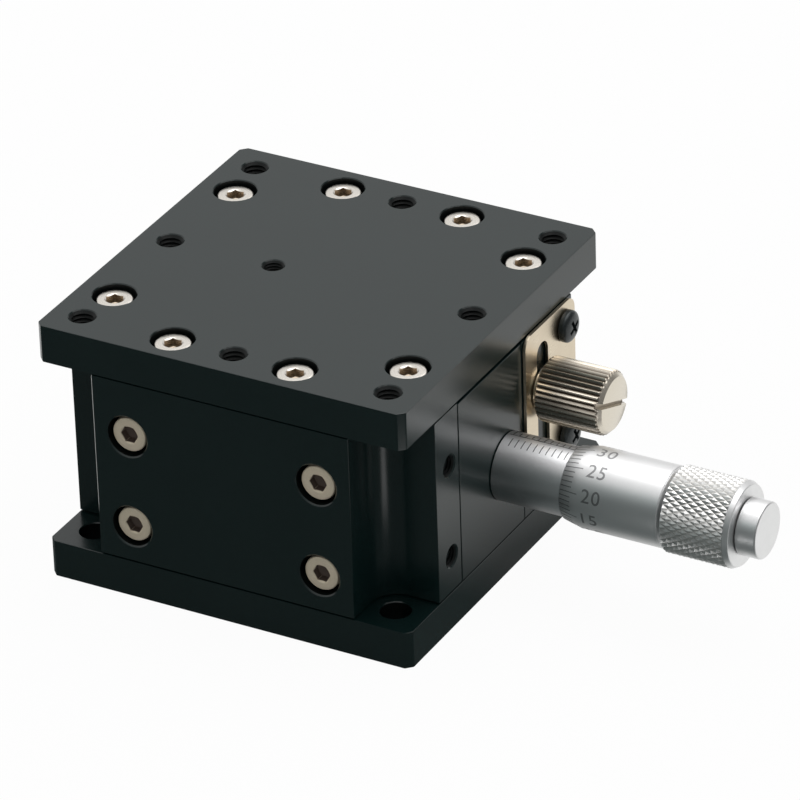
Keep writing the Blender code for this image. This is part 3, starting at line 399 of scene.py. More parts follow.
def makeGrained(name, base, shade, roughness, fine, fineSpread, fineShare=0.5, wide=None, wideSpread=0.0,
                stretch=None, own=False, metallic=1.0, ior=1.5, bump=()):
    # a fine grain, which some finishes stretch into scratches, over a wide stain
    material, sheet = newFinish(name, metallic, ior)
    place = sheet.ownPlace() if own else sheet.objectPlace()
    grain = sheet.grain(sheet.stretched(place, stretch) if stretch else place, *fine)
    mixed = grain
    rough = roughness + grain.swing(fineSpread)
    if wide:
        stain = sheet.grain(place, wide)
        mixed = grain * fineShare + stain * (1 - fineShare)
        rough = rough + stain.swing(wideSpread)
    sheet.surface(sheet.blend(mixed, base, shade), rough, grain, *bump)
    return material


def ringed(sheet, ring, stain):
    # height, radius, fine lathe rings across flat ends and along round sides, and a stain
    place = sheet.ownPlace()
    up = sheet.axis(place, "Z")
    flat = sheet.node("ShaderNodeVectorMath", {"operation": "MULTIPLY"}, {0: place, 1: (1, 1, 0)})
    out = sheet.away(flat)
    return up, out, sheet.lines(out + up, ring), sheet.grain(place, stain)


turning = {
    "stain": 1.4 * mm, "ringSpread": 0.14, "stainSpread": 0.08,
    # bounds of the shade painted inside a screw's socket: its wall, floor and mouth
    "socketWall": (1.40 * mm, 1.46 * mm), "socketFloor": (0.4 * mm, 0.5 * mm),
    "socketMouth": (2.70 * mm, 2.86 * mm),
}


def makeTurned(name, base, shade, roughness, ring=0.09 * mm, bump=0.10, socket=None, metallic=1.0):
    # lathe-turned metal, with shade painted inside a screw's socket
    material, sheet = newFinish(name, metallic)
    up, out, rings, stain = ringed(sheet, ring, turning["stain"])
    metal = sheet.blend(rings * 0.5 + stain * 0.5, base, shade)
    # painted shade: the socket colour inside the six walls, above the floor and below the mouth
    if socket:
        inside = sheet.clamped(out, *turning["socketWall"], 1, 0) * sheet.clamped(up, *turning["socketFloor"])
        metal = sheet.blend(inside * sheet.clamped(up, *turning["socketMouth"], 1, 0), metal, socket)
    rough = roughness + rings.swing(turning["ringSpread"]) + stain.swing(turning["stainSpread"])
    sheet.surface(metal, rough, rings, bump)
    return material


# the knurl and the flutes: how the shade painted in the grooves fades at the ends and towards the core
grooves = {
    "ring": 0.07 * mm, "stain": 1.1 * mm, "fade": 0.05 * mm, "shadeShare": (0.75, 0.5),
    "core": (0.3 * mm, 0.1 * mm, 0.45), "grooveSpread": 0.12, "ringSpread": 0.12, "bump": 0.08,
}


def makeGrooved(name, base, grooveShade, roughness, ridge, depth, start, end):
    # turned metal whose grooves get painted shade, a darker colour below the ridge radius, between start and
    # end
    material, sheet = newFinish(name, 1.0)
    up, out, rings, stain = ringed(sheet, grooves["ring"], grooves["stain"])
    fade, root = grooves["fade"], ridge - depth
    least, more = grooves["shadeShare"]
    inner, outer, share = grooves["core"]
    grip = sheet.clamped(up, start, start + fade) * sheet.clamped(up, end - fade, end, 1, 0)
    # low is the painted shade: darker in the grooves, patchy with the stain
    low = sheet.clamped(out, root, ridge, 1, 0) * grip * (least + stain * more)
    low = low * sheet.clamped(out, root - inner, root - outer, share, 1)
    rough = roughness + low * grooves["grooveSpread"] + rings.swing(grooves["ringSpread"])
    sheet.surface(sheet.blend(sheet.clamped(low, 0, 1), base, grooveShade), rough, rings, grooves["bump"])
    return material


edgeHighlightLook = {
    "dyed": (0.006, 0.012, 0.012), "paintedHighlight": (0.92, 0.91, 0.89), "patch": 1.5 * mm, "ragged": 5 * mm,
    "height": (13 * mm, 15 * mm), "metal": 0.3, "roughness": 0.42, "spread": 0.2,
}


def makeBareEdge():
    # a painted highlight on the upper part of an edge: its rim's reflection, painted pale and partly metallic
    material, sheet = newFinish("paintedEdgeHighlight", 0.0)
    place = sheet.objectPlace()
    highlightGrain = sheet.grain(place, edgeHighlightLook["patch"])
    paintedHighlight = sheet.clamped(sheet.axis(place, "Z") + highlightGrain.swing(edgeHighlightLook["ragged"]), *edgeHighlightLook["height"])
    rough = edgeHighlightLook["roughness"] + highlightGrain.swing(edgeHighlightLook["spread"])
    sheet.surface(sheet.blend(paintedHighlight, edgeHighlightLook["dyed"], edgeHighlightLook["paintedHighlight"]), rough)
    sheet.end({"Metallic": paintedHighlight * edgeHighlightLook["metal"]})
    return material


drawn = {"fine": (0.12 * mm,), "fineSpread": 0.18, "wide": 2.5 * mm, "stretch": (1, 1, 0.08), "bump": (0.10,)}
ink = {"fine": (0.25 * mm, 3.0, 0.6), "fineSpread": 0.2, "own": True}
satin = {"ring": 0.05 * mm, "bump": 0.05}

finishes.update({
    "black_anodised": makeGrained(
        "blackAnodised", (0.0018, 0.0084, 0.0082), (0.0036, 0.0126, 0.0122), 0.23, fine=(0.11 * mm, 2.0, 0.6),
        fineSpread=0.06, fineShare=0.4, wide=9 * mm, wideSpread=0.06, metallic=0.0, bump=(0.12,)),
    # drilled and tapped holes, with the dye painted darker for the shade inside them, and rougher
    "boreShade": makeGrained(
        "boreShade", (0.001, 0.002, 0.002), (0.003, 0.005, 0.005), 0.42, fine=(0.5 * mm,), fineSpread=0.2,
        metallic=0.0, ior=1.3),
    "paintedEdgeHighlight": makeBareEdge(),
    "pale_plate": makeGrained(
        "paleBrushedPlate", (0.80, 0.70, 0.545), (0.66, 0.56, 0.42), 0.30, fine=(0.10 * mm,), fineSpread=0.16,
        fineShare=0.6, wide=3.0 * mm, wideSpread=0.1, stretch=(1, 0.06, 1), bump=(0.10,)),
    "black_steel": makeGrained(
        "blackOxide", (0.008, 0.012, 0.013), (0.024, 0.031, 0.033), 0.30, fine=(0.35 * mm, 3.0, 0.6),
        fineSpread=0.2, own=True, metallic=0.3, ior=1.6, bump=(0.10, 0.005 * mm)),
    "thimbleInk": makeGrained("thimbleInk", (0.22, 0.225, 0.23), (0.40, 0.40, 0.40), 0.45, **ink),
    "sleeveInk": makeGrained("sleeveInk", (0.05, 0.052, 0.055), (0.12, 0.12, 0.12), 0.45, **ink),
    "ground_steel": makeGrained("groundSteel", (0.50, 0.50, 0.51), (0.38, 0.38, 0.39), 0.28, **drawn),
    "brass": makeGrained("brassCage", (0.74, 0.55, 0.26), (0.58, 0.41, 0.17), 0.34, **drawn),
    "drawnSteel": makeGrained("drawnSteel", (0.64, 0.63, 0.61), (0.50, 0.49, 0.48), 0.26, **drawn),
    "blackBody": makeGrained("blackedSteel", (0.03, 0.03, 0.032), (0.012, 0.012, 0.013), 0.34, **drawn),
    # socket colours are shade painted inside the screw sockets
    "bright_steel": makeTurned(
        "brightSteel", (0.84, 0.80, 0.74), (0.70, 0.66, 0.60), 0.26, socket=(0.46, 0.39, 0.31)),
    "warm_nickel": makeTurned(
        "warmNickel", (0.90, 0.80, 0.63), (0.72, 0.62, 0.47), 0.50, socket=(0.16, 0.12, 0.10), metallic=0.55),
    "satin_chrome": makeTurned("satinChrome", (0.88, 0.88, 0.88), (0.80, 0.80, 0.805), 0.40, **satin),
    "satinSleeve": makeTurned("satinSleeve", (0.84, 0.84, 0.85), (0.76, 0.76, 0.77), 0.37, **satin),
})
print("finishes made:", len(finishes))


# plates

plates = {
    "cornerChamfer": 1.0 * mm, "rim": 0.17 * mm, "mouth": 0.14 * mm,
    "tapRadius": 2.0 * mm, "tapPitch": 0.7 * mm, "topBoreDepth": 3.8 * mm, "baseBoreDepth": 3.4 * mm,
    "baseHoleRadius": 2.3 * mm, "mountLine": 25 * mm, "bracketX": 7.7 * mm,
}


def plateBlank(node):
    low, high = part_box(node)
    half = high.x
    edge = half - plates["cornerChamfer"]
    outline = [
        (-edge, -half), (edge, -half), (half, -edge), (half, edge),
        (edge, half), (-edge, half), (-half, edge), (-half, -edge),
    ]
    return eased(pushed(outline, "Z", low.z, high.z), plates["rim"])


def headHoles(kind, side, face, boreDepth, depth):
    bore = stepHole(drills["head"], boreDepth, drills["shank"], depth + over, plates["mouth"])
    return drilled(bore, side, face, middlesOf(kind))


def buildTopPlate():
    low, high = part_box("top_plate")
    depth = high.z - low.z
    line, mouth = plates["mountLine"], plates["mouth"]
    taps = [(x * line, y * line, 0) for x in (-1, 0, 1) for y in (-1, 0, 1) if x or y]
    cutters = drilled(tappedHole(plates["tapRadius"], depth, plates["tapPitch"], mouth), "up", high.z, taps)
    tap = tappedHole(drills["shank"], depth, drills["pitch"], mouth)
    cutters += drilled(tap, "up", high.z, [(-plates["bracketX"], 0, 0)])
    cutters += headHoles("top_screw", "up", high.z, plates["topBoreDepth"], depth)
    showBlack("topPlate", bored(plateBlank("top_plate"), cutters), "top_plate")


def buildBasePlate():
    low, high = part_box("base_plate")
    line, mouth = plates["mountLine"], plates["mouth"]
    corners = [(x, y, 0) for x in (-line, line) for y in (-line, line)]
    cutters = drilled(plainHole(plates["baseHoleRadius"], high.z - low.z, mouth, mouth), "up", high.z, corners)
    cutters += headHoles("base_screw", "down", low.z, plates["baseBoreDepth"], high.z)
    showBlack("basePlate", bored(plateBlank("base_plate"), cutters), "base_plate")


buildTopPlate()
buildBasePlate()
print("plates made")


# blocks between the plates

blocks = {
    "rim": 0.13 * mm, "notchLine": 21 * mm, "filletRadius": 4 * mm, "arcSteps": 12,
    "pocketHalf": 18.2 * mm, "pocketFront": 20 * mm, "boreDepth": 3.8 * mm,
    "panHole": 1.4 * mm, "mouth": 0.2 * mm, "shankMouth": 0.1 * mm,
    "tongueHalf": 5.6 * mm, "tongueFront": 19.8 * mm,
    "coreRight": 20 * mm, "coreLeft": -26 * mm, "channelHalf": 5.3 * mm, "seamFace": 5.15 * mm,
    "stemHole": 4.15 * mm, "springHole": 2.7 * mm, "railBore": 2.45 * mm, "railBoreDepth": 2.9 * mm,
    "railHole": 1.4 * mm, "highlightWidth": 0.156 * mm, "highlightInset": 0.002 * mm,
}


def notchedSide(half, inner, end):
    line = blocks["notchLine"]
    radius = blocks["filletRadius"]
    centre = line + radius
    right = [(line, half), *arcPoints((centre, centre), radius, 180, 270, blocks["arcSteps"])]
    right += [(half, line), (half, inner)]
    left = [(-x, y) for x, y in reversed(right)]
    return [(x, y * end) for x, y in left + right]


def blockBlank(outline, low, high):
    return eased(pushed(outline, "Z", low.z, high.z), blocks["rim"])


def shankHoles(kind, side, face, half):
    # for the plate screws of the front (-1) or the rear (1) half
    low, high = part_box(f"{kind}_1")
    depth = (face - low.z if side == "up" else high.z - face) + blocks["mouth"]
    shank = plainHole(drills["shank"], depth, blocks["shankMouth"])
    return drilled(shank, side, face, [middle for middle in middlesOf(kind) if middle.y * half > 0])


def springHole(node, low, high):
    cutter = plainHole(blocks["springHole"], high.z - low.z + over, blocks["mouth"])
    return drilled(cutter, "up", high.z, [boxOf(node)[2]])


def buildFrontBlock():
    low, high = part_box("front_block")
    half, front, mouth = blocks["pocketHalf"], blocks["pocketFront"], blocks["mouth"]
    inner = -high.y
    pocket = [(half, -inner), (half, -front), (-half, -front), (-half, -inner)]
    depth = -low.y - front + over
    bore = stepHole(drills["head"], blocks["boreDepth"], drills["shank"], depth, mouth)
    cutters = drilled(bore, "front", low.y, middlesOf("front_screw"))
    tap = tappedHole(drills["shank"], high.x - half, drills["pitch"], mouth)
    cutters += drilled(tap, "right", high.x, middlesOf("preload_screw"))
    cutters += shankHoles("top_screw", "up", high.z, -1)
    body = blockBlank(notchedSide(high.x, inner, -1) + pocket, low, high)
    piece = showBlack("frontBlock", bored(body, cutters), "front_block")
    # a painted highlight: the rim faces along the front face's left vertical edge get the pale edge finish
    piece.data.materials.append(finishes["paintedEdgeHighlight"])
    for face in piece.data.polygons:
        gaps = (face.center.x + blocks["notchLine"], face.center.y - low.y)
        if all(blocks["highlightInset"] < gap < blocks["highlightWidth"] for gap in gaps):
            face.material_index = 2


def buildRearBlock():
    low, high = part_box("rear_block")
    pan = plainHole(blocks["panHole"], high.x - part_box("pan_screw_1")[0].x + blocks["mouth"], blocks["mouth"])
    cutters = drilled(pan, "right", high.x, middlesOf("pan_screw"))
    cutters += shankHoles("top_screw", "up", high.z, 1)
    body = blockBlank(notchedSide(high.x, low.y, 1), low, high)
    showBlack("rearBlock", bored(body, cutters), "rear_block")


def buildCentreBlock():
    low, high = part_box("centre_block")
    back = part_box("clamp_bar")[1].y
    tongue, front, seam = blocks["tongueHalf"], blocks["tongueFront"], blocks["seamFace"]
    channel, left, right = blocks["channelHalf"], blocks["coreLeft"], blocks["coreRight"]
    mouth = blocks["mouth"]
    outline = [
        (low.x, -back), (-tongue, -back), (-tongue, -front), (tongue, -front), (tongue, -back), (high.x, -back),
        (high.x, seam), (right, seam), (right, -channel), (left, -channel), (left, seam), (low.x, seam),
    ]
    sleeve = boxOf("micrometer_sleeve")[2]
    stem = plainHole(blocks["stemHole"], high.x - right + over, mouth)
    cutters = drilled(stem, "right", high.x, [sleeve]) + springHole("return_spring_front", low, high)
    depth = back - channel + over
    rail = stepHole(blocks["railBore"], blocks["railBoreDepth"], blocks["railHole"], depth, mouth)
    cutters += drilled(rail, "back", -channel, middlesOf("inner_rail_screw"))
    body = bored(blockBlank(outline, low, high), cutters + shankHoles("base_screw", "down", low.z, -1))
    tap = tappedHole(drills["shank"], high.z - sleeve.z - over, drills["pitch"], mouth)
    lock = boxOf("micrometer_lock_screw")[2]
    showBlack("centreBlock", bored(body, drilled(tap, "up", high.z, [lock])), "centre_block")


def buildClampBar():
    low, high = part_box("clamp_bar")
    outline = [(low.x, low.y), (high.x, low.y), (high.x, high.y), (low.x, high.y)]
    inner, outer, knob = boxOf("clamp_knob")
    shank = plainHole(drills["shank"], high.x - inner.x + blocks["mouth"], blocks["mouth"])
    cutters = springHole("return_spring_rear", low, high) + drilled(shank, "right", high.x, [knob])
    cutters += shankHoles("base_screw", "down", low.z, 1)
    showBlack("clampBar", bored(blockBlank(outline, low, high), cutters), "clamp_bar")


buildFrontBlock()
buildRearBlock()
buildCentreBlock()
buildClampBar()
print("blocks made")


# screws, made with the seat under the head at 0 and the head up

screws = {
    "radius": 1.5 * mm, "pitch": 0.5 * mm, "threadDepth": 0.22 * mm, "tip": 0.3 * mm,
    "headRadius": 2.75 * mm, "headHeight": 3.0 * mm, "headRound": 0.32 * mm, "headSteps": 4,
    "flutes": 36, "fluteDepth": 0.06 * mm,
    "socketRadius": 1.44 * mm, "socketDepth": 1.3 * mm, "socketMouth": 0.16 * mm, "mouthSlope": 1.6,
    "coneDepth": 0.45, "coneWidth": 0.86, "setSocketRadius": 0.86 * mm, "setChamfer": 0.25 * mm,
    "panRadius": 2.45 * mm, "panHeight": 1.5 * mm, "panShank": 1.25 * mm, "panSide": 0.42, "panTop": 0.30,
    "panEase": 0.08 * mm, "panSteps": 10, "panTurn": math.radians(28),
    "recessSpan": 2.7 * mm, "recessWidth": 0.62 * mm, "recessDepth": 1.1 * mm, "recessFloor": 0.45,
}


def threadedShank(length, radius):
    # a run of sharp threads that ends at 0
    pitch, tip = screws["pitch"], screws["tip"]
    root = radius - screws["threadDepth"]
    profile = [(-length, root - tip / 2)]
    for turn in range(int((length - tip) / pitch)):
        low = -length + tip + turn * pitch
        profile += [(low, root), (low + pitch / 2, radius)]
    return profile + [(-pitch / 4, root), (0, radius)]


def socketed(body, radius, mouth, top):
    # a six-sided socket with a drilled cone below it, and then its round chamfered mouth
    floor = top - screws["socketDepth"]
    flare = mouth * screws["mouthSlope"]
    wide = radius * math.cos(math.pi / 6) + flare
    socket = [(floor - radius * screws["coneDepth"], 0), (floor, radius * screws["coneWidth"]), (floor, radius),
              (top + over, radius)]
    rim = [(top - mouth * 2, 0), (top - mouth, wide - flare), (top, wide), (top + over, wide)]
    return bored(bored(body, [spun(socket, 6)]), [spun(rim, rounding["holeSides"])])


def capScrew(total):
    height, radius, ease = screws["headHeight"], screws["headRadius"], screws["headRound"]
    profile = threadedShank(total - height, screws["radius"])
    profile += [(0, radius - ease / 3), (ease / 3, radius)]
    profile += roundedEnd(height, radius, ease, screws["headSteps"])
    body = spun(profile, screws["flutes"] * 2)
    for vertex in body.verts:  # fine straight knurl round the head
        step, out = roundStep(vertex, screws["flutes"] * 2)
        if out > radius - ease / 8 and vertex.co.z > 0 and step % 2:
            narrowed(body, [vertex], (out - screws["fluteDepth"]) / out)
    return socketed(body, screws["socketRadius"], screws["socketMouth"], height)


def setScrew(length):
    # the tip is at 0 and the socket at the far end
    ease, radius = screws["setChamfer"], screws["radius"]
    profile = [(along + length, out) for along, out in threadedShank(length, radius)[:-2]]
    profile = [point for point in profile if point[0] < length - ease]
    profile += [(length - ease, radius), (length, radius - ease), (length, 0)]
    body = spun(profile, rounding["holeSides"])
    return socketed(body, screws["setSocketRadius"], screws["socketMouth"] / 2, length)


def panScrew(total):
    radius, height, ease = screws["panRadius"], screws["panHeight"], screws["panEase"]
    side, top, steps = screws["panSide"], screws["panTop"], screws["panSteps"]
    profile = threadedShank(total - height, screws["panShank"]) + [(0, radius - ease), (ease, radius)]
    for step in range(steps + 1):  # a rounded edge that runs into a nearly flat top
        angle = math.pi / 2 * step / steps
        profile.append((height * side + height * (1 - side) * math.sin(angle),
                        radius * (top + (1 - top) * math.cos(angle))))
    body = spun(profile + [(height, 0)], rounding["holeSides"])
    span, width = screws["recessSpan"] / 2, screws["recessWidth"] / 2
    low, high, narrow = height - screws["recessDepth"], height + over, span * screws["recessFloor"]
    outline = [(-narrow, low), (narrow, low), (span, height), (span, high), (-span, high), (-span, height)]
    for turn in (0, math.pi / 2):
        arm = moved(pushed(outline, "Y", -width, width), turn=Matrix.Rotation(turn, 4, "Z"))
        body = bored(body, [arm])
    return body


def showScrews(name, kind, slot, side, make, height=None, turn=0.0):
    # copies of the first screw, each with its 0 a height below the outer end, or else at the inner end
    axis, way = axes[side]
    for number, node in enumerate(nodesOf(kind), 1):
        low, high, place = boxOf(node)
        total = high[axis] - low[axis]
        if number == 1:
            shape = make(total)
        place[axis] = (high if way > 0 else low)[axis] - way * (height or total)
        show(f"{name}{number}", shape.copy(), slot, node, place, facing[side] @ Matrix.Rotation(turn, 4, "Z"))
    shape.free()


def buildLockScrew():
    node = "micrometer_lock_screw"
    low, high, middle = boxOf(node)
    show("lockScrew", setScrew(high.z - low.z), "black_steel", node, (middle.x, middle.y, low.z))


showScrews("topScrew", "top_screw", "bright_steel", "up", capScrew, screws["headHeight"])
showScrews("frontScrew", "front_screw", "warm_nickel", "front", capScrew, screws["headHeight"])
showScrews("baseScrew", "base_screw", "black_steel", "down", capScrew, screws["headHeight"])
showScrews("preloadScrew", "preload_screw", "black_steel", "right", setScrew)
buildLockScrew()
showScrews("panScrew", "pan_screw", "black_steel", "right", panScrew, screws["panHeight"], screws["panTurn"])
print("screws made")


# micrometer head, made along +Z from the face of the centre block

head = {
    "stemRadius": 4.0 * mm, "sleeveRadius": 5.2 * mm, "sleeveGap": 0.08 * mm, "sleeveEdge": 0.08 * mm,
    "sleeveBevel": 0.03 * mm, "spindleHole": 2.7 * mm, "ease": 0.25 * mm,
    "boreRadius": 5.35 * mm, "edgeRadius": 5.5 * mm, "coneLength": 2.8 * mm, "barrelRadius": 6.1 * mm,
    "barrelLength": 13.0 * mm, "groove": (0.12 * mm, 0.1 * mm, 0.02 * mm), "stepLength": 0.8 * mm,
    "gripRadius": 6.5 * mm, "gripLength": 9.75 * mm, "gripStartEdge": (0.05 * mm, 0.05 * mm),
    "gripEndEdge": (0.1 * mm, 0.053 * mm), "endRadius": 6.05 * mm, "endEdge": (0.06 * mm, 0.04 * mm),
    "floor": 4.0 * mm, "knurlRound": 42, "knurlRows": 11, "knurlDepth": 0.21 * mm, "near": 0.01 * mm,
    "shadeFrom": 16.6 * mm, "shadeTo": 26.4 * mm,
    "capGap": 0.15 * mm, "capEdge": 0.1 * mm, "capRound": 0.35 * mm, "capSteps": 5,
    "spindleRadius": 2.4 * mm, "spindleEase": 0.3 * mm,
}

# rises are in degrees above the front of the stage
scale = {
    "lineWidth": 0.13 * mm, "proud": 0.012 * mm, "bolder": 0.012 * mm, "strips": 16,
    "capHeight": 0.70, "letterGap": 1.12,
    "datumRise": 94.0, "datumStart": 0.55 * mm, "datumUnder": 1.0 * mm, "zeroPlace": 1.0 * mm, "marks": 11,
    "longFrom": 66.0, "longTo": 84.0, "shortTo": 106.0, "fifthLonger": 4,
    "sleeveNumber": 1.25 * mm, "sleeveNumberRise": 119, "oneFigure": 0.35, "twoFigures": 0.75,
    "divisions": 50, "thirtyRise": 91.0, "markStart": 0.12 * mm, "shortEnd": 1.95 * mm, "longEnd": 3.05 * mm,
    "numberHeight": 2.05 * mm, "numberStart": 3.8 * mm,
}

# the second colour is shade painted into the knurl's valleys
finishes["knurledChrome"] = makeGrooved(
    "knurledChrome", (0.90, 0.90, 0.90), (0.62, 0.61, 0.59), 0.30,
    head["gripRadius"], head["knurlDepth"], head["shadeFrom"], head["shadeTo"])


def buildSleeve():
    low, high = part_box("micrometer_sleeve")
    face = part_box("centre_block")[1].x
    seat, length = low.x - face, high.x - face
    stem, radius, inner, ease = head["stemRadius"], head["sleeveRadius"], head["spindleHole"], head["ease"]
    root, edge, bevel = head["sleeveGap"], head["sleeveEdge"], head["sleeveBevel"]
    profile = [
        (seat, inner), (seat, stem - ease), (seat + ease, stem), (root, stem), (root, radius - edge),
        (root + bevel, radius - bevel), (root + edge, radius),
        (length - ease, radius), (length, radius - ease), (length, inner),
    ]
    shape = spun(profile, rounding["turnedSides"], hollow=True)
    showTurned("micrometerSleeve", shape, "satin_chrome", "micrometer_sleeve", face, "satinSleeve")
    return face


def risen(rise):
    # turns a piece at +X of its own frame to a rise above the front of the stage
    angle = math.radians(rise)
    return Matrix.Rotation(math.atan2(-math.cos(angle), -math.sin(angle)), 4, "Z")


def roundMark(along, radius, start, end, steps):
    # a thin line that runs round a barrel between two rises
    proud, half = scale["proud"], scale["lineWidth"] / 2
    shape = bmesh.new()
    outline = [(-half, -proud), (half, -proud), (half, proud), (-half, proud)]
    corners = [shape.verts.new((radius + out, 0, along + side)) for side, out in outline]
    face = shape.faces.new(corners)
    bmesh.ops.spin(shape, geom=[face, *face.edges, *corners], cent=(0, 0, 0), axis=(0, 0, 1),
                   angle=-math.radians(end - start), steps=steps)
    return moved(tidied(shape), turn=risen(start))


def alongMark(profile, rise):
    # a thin line that runs along a turned side, over (along, radius) points
    proud, half = scale["proud"], scale["lineWidth"] / 2
    outline = [(radius - proud, along) for along, radius in profile]
    outline += [(radius + proud, along) for along, radius in reversed(profile)]
    return moved(pushed(outline, "Y", -half, half), turn=risen(rise))


def wrappedNumber(number, height, radius, start, rise):
    # a number cut into strips, so that it can follow the round side
    curve = bpy.data.curves.new("number", "FONT")
    curve.body = str(number)
    curve.size = height / scale["capHeight"]
    curve.space_character = scale["letterGap"]
    curve.offset = scale["bolder"]
    curve.extrude = scale["proud"]
    curve.align_x = "LEFT"
    holder = bpy.data.objects.new("number", curve)
    scene.collection.objects.link(holder)
    shape = settled(holder)
    bpy.data.objects.remove(holder)
    bmesh.ops.remove_doubles(shape, verts=shape.verts[:], dist=rounding["merge"])
    for strip in range(scale["strips"] + 1):
        plane = {"plane_co": (0, height * strip / scale["strips"], 0), "plane_no": (0, 1, 0)}
        everything = shape.verts[:] + shape.edges[:] + shape.faces[:]
        bmesh.ops.bisect_plane(shape, geom=everything, dist=rounding["merge"], **plane)
    low = min(vertex.co.x for vertex in shape.verts)
    for vertex in shape.verts:
        angle = math.radians(rise) + (vertex.co.y - height / 2) / radius
        out = radius + vertex.co.z
        vertex.co = (-out * math.sin(angle), -out * math.cos(angle), start + vertex.co.x - low)
    bmesh.ops.recalc_face_normals(shape, faces=shape.faces[:])
    return shape


def buildSleeveScale(face):
    radius, datum = head["sleeveRadius"], scale["datumRise"]
    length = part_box("thimble")[0].x - face + scale["datumUnder"]
    marks = [alongMark([(scale["datumStart"], radius), (length, radius)], datum)]
    for number in range(scale["marks"]):
        along = scale["zeroPlace"] + number * mm
        reach = scale["shortTo"] + (scale["fifthLonger"] if number % 5 == 0 else 0)
        marks.append(roundMark(along, radius, datum, reach, 4))
        marks.append(roundMark(along + mm / 2, radius, scale["longFrom"], scale["longTo"], 5))
    for number in (0, 5, 10):
        back = scale["twoFigures"] if number > 9 else scale["oneFigure"]
        start = scale["zeroPlace"] + (number - back) * mm
        marks.append(wrappedNumber(number, scale["sleeveNumber"], radius, start, scale["sleeveNumberRise"]))
    showTurned("sleeveScale", together(marks), "black_steel", "micrometer_sleeve", face, "sleeveInk", False)


def buildThimble():
    low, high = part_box("thimble")
    barrel, grip, edge, cone = head["barrelRadius"], head["gripRadius"], head["endRadius"], head["coneLength"]
    barrelEnd = cone + head["barrelLength"]
    gripStart = barrelEnd + head["stepLength"]
    gripEnd = gripStart + head["gripLength"]
    end = high.x - low.x
    rows, near = head["knurlRows"], head["near"]
    wide, deep, shallow = head["groove"]
    startAlong, startIn = head["gripStartEdge"]
    endAlong, endIn = head["gripEndEdge"]
    back, swell = head["endEdge"]
    outside = [
        (0, head["boreRadius"]), (0, head["edgeRadius"]), (cone, barrel),
        (barrelEnd - wide, barrel), (barrelEnd, barrel - deep), (barrelEnd + wide, barrel - shallow),
        (gripStart - startAlong, grip - startIn),
        *[(gripStart + head["gripLength"] * row / rows, grip) for row in range(rows + 1)],
        (gripEnd + endAlong, grip - endIn), (end - back, edge + swell), (end, edge - back),
        (end, head["spindleHole"]), (end - head["floor"], head["spindleHole"]),
        (end - head["floor"], head["boreRadius"]),
    ]
    shape = spun(outside, head["knurlRound"] * 2, hollow=True)
    valleys = []
    for vertex in shape.verts:
        step, out = roundStep(vertex, head["knurlRound"] * 2)
        if abs(out - grip) < near and vertex.co.z > gripStart - near:
            row = round((vertex.co.z - gripStart) / head["gripLength"] * rows)
            if (row + step) % 2:
                valleys.append(vertex)
    narrowed(shape, valleys, 1 - head["knurlDepth"] / grip)
    bmesh.ops.connect_verts(shape, verts=valleys)
    piece = showTurned("thimble", shape, "satin_chrome", "thimble", low.x)
    piece.data.materials.append(finishes["knurledChrome"])
    own = piece.data.attributes["ownPlace"].data
    for face in piece.data.polygons:  # the knurl's small faces stay flat
        depths = [own[index].vector.z for index in face.vertices]
        radii = [math.hypot(*own[index].vector[:2]) for index in face.vertices]
        if min(depths) > gripStart - near and max(depths) < gripEnd + near and min(radii) > head["endRadius"]:
            face.material_index = 1
            face.use_smooth = False


def buildThimbleScale():
    cone, edge, barrel = head["coneLength"], head["edgeRadius"], head["barrelRadius"]
    slope = (barrel - edge) / cone
    first, short = scale["markStart"], scale["shortEnd"]
    marks = []
    for number in range(scale["divisions"]):
        rise = scale["thirtyRise"] + (number - 30) * 360 / scale["divisions"]
        profile = [(first, edge + slope * first)]
        if number % 5 == 0:
            profile += [(cone, barrel), (scale["longEnd"], barrel)]
            marks.append(wrappedNumber(number, scale["numberHeight"], barrel, scale["numberStart"], rise))
        else:
            profile += [(short, edge + slope * short)]
        marks.append(alongMark(profile, rise))
    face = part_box("thimble")[0].x
    showTurned("thimbleScale", together(marks), "black_steel", "thimble", face, "thimbleInk", False)


def buildCap():
    low, high, middle = boxOf("thimble_cap")
    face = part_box("thimble")[1].x
    ease, gap, edge, spindle = head["capRound"], head["capGap"], head["capEdge"], head["spindleRadius"]
    radius = high.y - middle.y
    length = high.x - face
    profile = [(low.x - face, 0), (low.x - face, spindle), (gap, spindle), (gap, radius - edge),
               (gap + edge, radius), *roundedEnd(length, radius, ease, head["capSteps"])]
    shape = spun(profile, rounding["turnedSides"])
    showTurned("thimbleCap", shape, "satin_chrome", "thimble_cap", face)


def buildSpindle():
    low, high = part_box("spindle")
    ease, radius, length = head["spindleEase"], head["spindleRadius"], high.x - low.x
    profile = [(0, 0), (0, radius - ease), (ease, radius), (length - ease, radius), (length, radius - ease)]
    shape = spun(profile + [(length, 0)], rounding["holeSides"])
    showTurned("spindle", shape, "bright_steel", "spindle", low.x)


buildSleeveScale(buildSleeve())
buildThimble()
buildThimbleScale()
buildCap()
buildSpindle()
print("micrometer made")


# clamp: a slotted plate on the rear block and a thumb screw in the fixed bar

